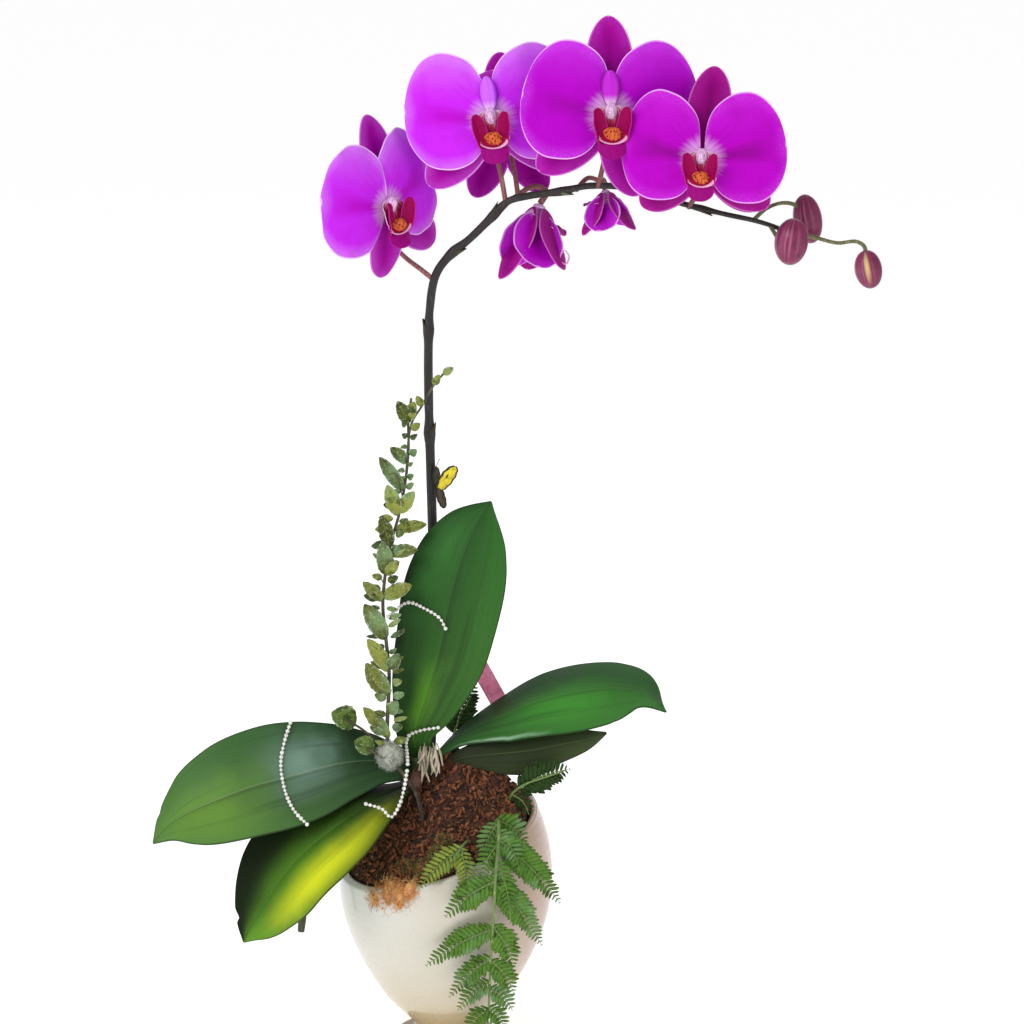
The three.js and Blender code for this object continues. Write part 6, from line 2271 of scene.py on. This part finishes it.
def leaves() -> list[Leaf]:
    """The five leaves."""
    dark = srgb(30, 42, 26)
    return [
        Leaf(
            "upper_left_leaf", "leaf_left_upper",
            (
                (-20, -1, 194), (-33, -12, 199), (-50, -20, 203), (-69, -30, 204), (-101, -42, 199),
                (-127, -47, 193), (-147, -50, 186), (-167, -50, 177), (-180, -48, 168), (-192, -45, 154),
            ),
            (
                (0.1, -0.5, -0.7), (0.1, -0.6, -0.75), (0.12, -0.62, -0.78), (0.2, -0.62, -0.75),
                (0.4, -0.6, -0.65),
            ),
            (9, 14, 21, 28, 34, 37, 37, 35, 29, 15, 0.8),
            LeafFinish(
                "leaf_blue_green", srgb(34, 58, 34), srgb(52, 84, 50), srgb(82, 124, 56), srgb(88, 132, 60),
                srgb(176, 196, 150), dark,
                (
                    # Painted sheen: a blue-grey highlight band across the middle of the leaf.
                    (srgb(136, 166, 158), 0.42, 0.2, 0.4, 0.5, 0.6),
                    (srgb(110, 154, 54), 0.76, 0.26, 0.66, 0.5, 0.75),
                    (srgb(40, 88, 40), 0.6, 0.5, 0.06, 0.3, 0.6),
                ),
                0.5, 0.12, 0.16,
            ),
            fold=0.16, wave=1.2, notch=(0.92, -1, 0.1),
        ),
        Leaf(
            "lower_left_leaf", "leaf_left_lower",
            (
                (-18, -6, 184), (-33, -28, 184), (-49, -46, 181), (-71, -58, 169), (-92, -61, 152),
                (-108, -59, 132), (-121, -55, 110), (-129, -52, 96), (-133, -50, 87),
            ),
            (
                (0.5, -0.5, -0.1), (0.5, -0.62, -0.3), (0.62, -0.62, -0.42), (0.7, -0.58, -0.4),
                (0.75, -0.5, -0.3),
            ),
            (6, 9, 15, 25, 33, 36, 36, 34, 27, 17, 0.8),
            LeafFinish(
                # Painted shadow: the back corners are near-black where the upper left leaf shades this one.
                "leaf_variegated", srgb(14, 20, 11), srgb(40, 60, 22), srgb(22, 34, 15), srgb(88, 132, 44),
                srgb(150, 170, 90), srgb(16, 22, 12),
                (
                    (srgb(84, 132, 34), 0.62, 0.44, 0.62, 0.36, 0.9),
                    (srgb(214, 222, 40), 0.56, 0.44, 0.8, 0.27, 1.0),
                    (srgb(96, 150, 44), 0.94, 0.14, 0.8, 0.5, 0.7),
                    # Painted shadow: near-black at the foot of the leaf, in the shade by the crown.
                    (srgb(8, 12, 7), 0.0, 0.26, 0.5, 0.9, 1.0),
                ),
                0.3, 0.06, 0.05, 0.08, pleat=0.15,
            ),
            fold=0.14, thick=2.0, wave=1.5, waves=4, slot="variegated_leaf", notch=(0.93, -1, 0.2),
        ),
        Leaf(
            "centre_leaf", "leaf_centre",
            (
                (-16, -8, 203), (-20, -15, 218), (-13, -19, 245), (-3, -22, 280), (4, -20, 313),
                (12, -15, 340), (20, -9, 358), (26, -4, 368), (31, 0, 375),
            ),
            ((1, -0.1, 0), (1, -0.2, -0.15), (1, -0.25, -0.2), (1, -0.2, -0.25), (1, -0.1, -0.3)),
            (8, 13, 21, 27, 31, 33, 34, 33, 29, 20, 0.8),
            LeafFinish(
                "leaf_centre_green", srgb(40, 72, 30), srgb(60, 104, 42), srgb(40, 84, 36), srgb(56, 108, 46),
                srgb(110, 160, 80), dark,
                (
                    (srgb(92, 146, 40), 0.22, 0.24, 0.5, 0.26, 0.8),
                    # Painted shade: a dark strip along the left edge of the leaf.
                    (srgb(16, 32, 14), 0.5, 0.6, 0.0, 0.12, 0.85),
                    (srgb(60, 122, 50), 0.8, 0.2, 0.3, 0.25, 0.5),
                ),
                0.6, 0.3, 0.05, 0.12,
            ),
            fold=0.18, wave=0.8,
        ),
        Leaf(
            "upper_right_leaf", "leaf_right_upper",
            (
                (-5, 3, 201), (6, 6, 210), (22, 10, 218), (40, 13, 225), (64, 16, 234), (91, 17, 240),
                (117, 14, 243), (134, 8, 241), (148, 0, 231),
            ),
            ((0.1, -0.9, 0), (0.1, -0.85, -0.2), (0.1, -0.85, -0.4), (0.15, -0.8, -0.45), (0.3, -0.8, -0.4)),
            (7, 12, 20, 27, 31, 33, 33, 30, 25, 16, 0.8),
            LeafFinish(
                "leaf_bright_green", srgb(36, 76, 34), srgb(56, 112, 46), srgb(40, 88, 38), srgb(60, 118, 48),
                srgb(150, 200, 110), dark,
                (
                    (srgb(70, 152, 52), 0.52, 0.34, 0.62, 0.45, 0.85),
                    # Painted highlight: a pale line along the front edge, where it catches the light.
                    (srgb(190, 222, 200), 0.24, 0.26, 0.96, 0.06, 0.6),
                    (srgb(24, 50, 24), 0.1, 0.2, 0.3, 0.6, 0.6),
                ),
                0.6, -0.15, 0.1,
            ),
            fold=0.14,
        ),
        Leaf(
            "lower_right_leaf", "leaf_right_lower",
            (
                (-4, -3, 194), (14, -5, 201), (34, -4, 203), (56, -3, 205), (76, -3, 209), (94, -4, 213),
                (108, -5, 218),
            ),
            (
                (0, -0.5, -0.8), (0.1, -0.35, -0.95), (0.1, -0.3, -0.95), (0.15, -0.3, -0.95),
                (0.3, -0.3, -0.9),
            ),
            (4, 6, 10, 14, 15.5, 14, 11, 7, 0.8),
            LeafFinish(
                "leaf_shaded", srgb(36, 46, 24), srgb(52, 62, 34), srgb(42, 56, 26), srgb(60, 74, 38),
                srgb(110, 130, 76), dark,
            ),
            fold=0.12, thick=1.9, wave=0.6,
        ),
    ]


def buds() -> list[Bud]:
    """The three buds."""
    return [
        Bud(1, (223, -33, 551), (11, 11, 15), (0.12, 0, 0.99)),
        Bud(2, (236, -2, 562), (9.5, 9.5, 16), (-0.2, 0, 0.98)),
        Bud(
            3, (274, -19, 531.5), (9, 9, 12.5), (-0.2, 0, 0.98),
            BudFinish("split_bud_skin", seam=srgb(216, 190, 124)),
        ),
    ]


def fronds() -> list[Frond]:
    """The four fern fronds."""
    green = GreenFinish("fern_green", srgb(52, 98, 42), srgb(116, 160, 58), srgb(22, 46, 18))
    bright = GreenFinish("fern_yellow_green", srgb(104, 138, 52), srgb(178, 190, 84), srgb(60, 84, 30))
    # Painted shade: a near-black copy of the fern greens, pale patches darkened too, for the fronds that lie
    # in the leaves' shade.
    fern_in_shade = GreenFinish("fern_black_green", srgb(18, 32, 16), srgb(64, 96, 42), srgb(8, 14, 8),
                        pale=srgb(40, 62, 34))
    return [
        Frond("front_fern", "fern_front",
              ((32, -38, 152), (34, -48, 169), (36, -62, 174), (36, -76, 163), (34, -81, 143), (33, -80, 118),
               (31, -74, 88), (30, -62, 60), (29, -48, 36), (28, -40, 16)),
              (1.3, 1.1, 0.9, 0.6),
              (Pinna((35, -58, 174), (54, -60, 160), 9), Pinna((35, -64, 173), (26, -74, 150), 8),
               Pinna((36, -70, 170), (50, -78, 146), 8), Pinna((36, -75, 164), (25, -82, 140), 7),
               Pinna((36, -74, 166), (76, -62, 119), 11), Pinna((35, -79, 152), (44, -82, 112), 7),
               Pinna((34, -81, 138), (64, -68, 92), 10), Pinna((34, -81, 140), (2, -86, 118), 10),
               Pinna((32, -78, 106), (-11, -80, 82), 9), Pinna((32, -78, 108), (46, -72, 78), 9),
               Pinna((31, -72, 84), (4, -74, 58), 8), Pinna((31, -72, 82), (46, -63, 56), 8),
               Pinna((30, -64, 64), (9, -62, 44), 7), Pinna((30, -60, 58), (45, -52, 40), 7),
               Pinna((29, -52, 42), (40, -44, 22), 7), Pinna((29, -50, 40), (14, -46, 19), 7),
               Pinna((28, -43, 24), (27, -38, 7), 6)),
              (0, -1, 0.15), green),
        Frond(
            "right_fern", "fern_right",
            ((42, -14, 164), (44, -18, 178), (52, -20, 186), (66, -22, 192), (80, -22, 197)), (1.1, 0.8, 0.5),
            (Pinna((50, -20, 184), (83, -22, 198), 11), Pinna((45, -18, 179), (56, -27, 168), 7)),
            (0, -1, 0.3), fern_in_shade,
        ),
        Frond(
            "back_fern", "fern_back", ((4, 30, 178), (4, 36, 200), (9, 38, 216), (17, 38, 232)),
            (1.1, 0.9, 0.5), (Pinna((6, 37, 206), (20, 38, 240), 11),), (0, -1, 0), fern_in_shade,
        ),
        Frond(
            "rim_fern", "fern_rim", ((16, -42, 150), (15, -54, 158), (10, -68, 156), (2, -78, 146)),
            (1.1, 0.9, 0.5),
            (Pinna((12, -66, 157), (-16, -80, 134), 8), Pinna((11, -66, 157), (14, -82, 130), 7)),
            (-0.1, -1, 0.25), bright,
        ),
    ]


def strands(by_node: dict[str, Leaf]) -> list[BeadStrand]:
    """The four strands of beads, which lie on the leaves and the mound.

    Args:
        by_node: the leaves by their solid's name.

    Returns:
        The strands.
    """
    centre, left = by_node["leaf_centre"], by_node["leaf_left_upper"]
    return [
        BeadStrand("beads_on_centre_leaf", "beads_centre_leaf",
                   ((-36.5, -28, 304), *(centre.point(u, v, -3.15) for u, v in
                                         ((0.575, -0.8), (0.57, -0.45), (0.55, -0.1), (0.52, 0.05))))),
        BeadStrand(
            "beads_on_left_leaf", "beads_left_leaf",
            tuple(
                (left.point(u, v, 3.15) for u, v in ((0.42, -0.95), (0.46, -0.6), (0.49, -0.25), (0.5, 0.1),
                                                     (0.5, 0.45), (0.49, 0.75), (0.47, 1.05))),
            ),
        ),
        BeadStrand(
            "beads_over_mound", "beads_mound",
            (
                (-24.1, -46, 204), (-26, -52, 193.5), (-29.1, -58, 183.8), (-34.2, -62, 177.5),
                (-40, -64, 183.6), (-50.3, -66, 187.7),
            ),
        ),
        BeadStrand("beads_at_leaf_foot", "beads_leaf_foot",
                   ((-24, -37, 206), centre.point(0.1, -0.3, -3.5), centre.point(0.13, 0.2, -3.5),
                    centre.point(0.16, 0.8, -3.15))),
    ]


# Studio


@dataclass
class Studio:
    """Pale floor, soft lights and the camera at the photo's angle."""

    camera_at: Triple = (44.8, -1956.3, 783.8)
    tilt: float = 12.0
    lens: float = 106.53

    def floor(self) -> None:
        """A plain pale floor under the pot."""
        s = Shader("pale_floor")
        grain = s.noise(180, 2)
        colour = s.mix(grain * 0.02, srgb(252, 252, 252), srgb(240, 240, 240))
        material = s.done(colour, 0.9, Emission_Color=(1, 1, 1, 1), Emission_Strength=0.45)
        mesh = bpy.data.meshes.new("floor")
        reach = 40.0
        mesh.from_pydata([(-reach, -reach, 0), (reach, -reach, 0), (reach, reach, 0), (-reach, reach, 0)],
                         [], [(0, 1, 2, 3)])
        mesh.materials.append(material)
        linked("floor", mesh)

    def light(self, name: str, place: Triple, power: float, size: float, tint: Triple = (1, 1, 1)) -> None:
        """One soft lamp aimed at the middle of the plant.

        Args:
            name: its name.
            place: where it is, in metres.
            power: its power in watts.
            size: its side in metres.
            tint: its colour.
        """
        lamp = bpy.data.lights.new(name, "AREA")
        lamp.energy, lamp.size, lamp.color = power, size, tint
        holder = linked(name, lamp)
        holder.location = place
        aim = Vector((0.03, 0, 0.38)) - Vector(place)
        holder.rotation_euler = aim.to_track_quat("-Z", "Y").to_euler()

    def build(self) -> None:
        """Sets up floor, lamps, surroundings and camera."""
        self.floor()
        self.light("key", (-1.3, -1.6, 1.9), 26, 1.3)
        self.light("fill", (1.8, -1.5, 0.8), 5, 1.6, (1.0, 0.97, 0.95))
        self.light("back", (0.4, 1.9, 1.5), 8, 1.4)
        world = bpy.data.worlds.new("soft_white")
        world.use_nodes = True
        world.node_tree.nodes["Background"].inputs[0].default_value = (1, 1, 1, 1)
        world.node_tree.nodes["Background"].inputs[1].default_value = 0.55
        scene = bpy.context.scene
        scene.world = world
        scene.view_settings.view_transform = "Standard"
        lens = bpy.data.cameras.new("camera")
        lens.lens, lens.sensor_width = self.lens, 36.0
        camera = linked("camera", lens)
        camera.location = [value * MM for value in self.camera_at]
        camera.rotation_euler = (math.radians(90 - self.tilt), 0, 0)
        lens.clip_end = 100
        scene.camera = camera


def main() -> None:
    """Builds the plant piece by piece from the pot up, then the studio."""
    logging.basicConfig(level=logging.INFO, format="%(name)s %(message)s")
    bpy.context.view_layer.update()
    flowers = blooms()
    greens = leaves()
    spike = FlowerSpike(stalks=[flower.stalk_path() for flower in flowers])
    pieces = [GlazedPot(), PottingMix(), CoirMound(), CoirTuft(), Crown(), *greens, spike, *flowers]
    pieces += [Lip(flower) for flower in flowers if flower.stance is Stance.OPEN]
    pieces += [*buds(), *fronds(), FrostedPick(), *strands({leaf.node: leaf for leaf in greens})]
    pieces += [Butterfly(), SlipLabel()]
    for piece in pieces:
        thing = piece.build()
        piece.dress(thing)
        LOG.info("%s: %d faces", thing.name, len(thing.data.polygons))
    Studio().build()


if __name__ == "__main__":
    main()
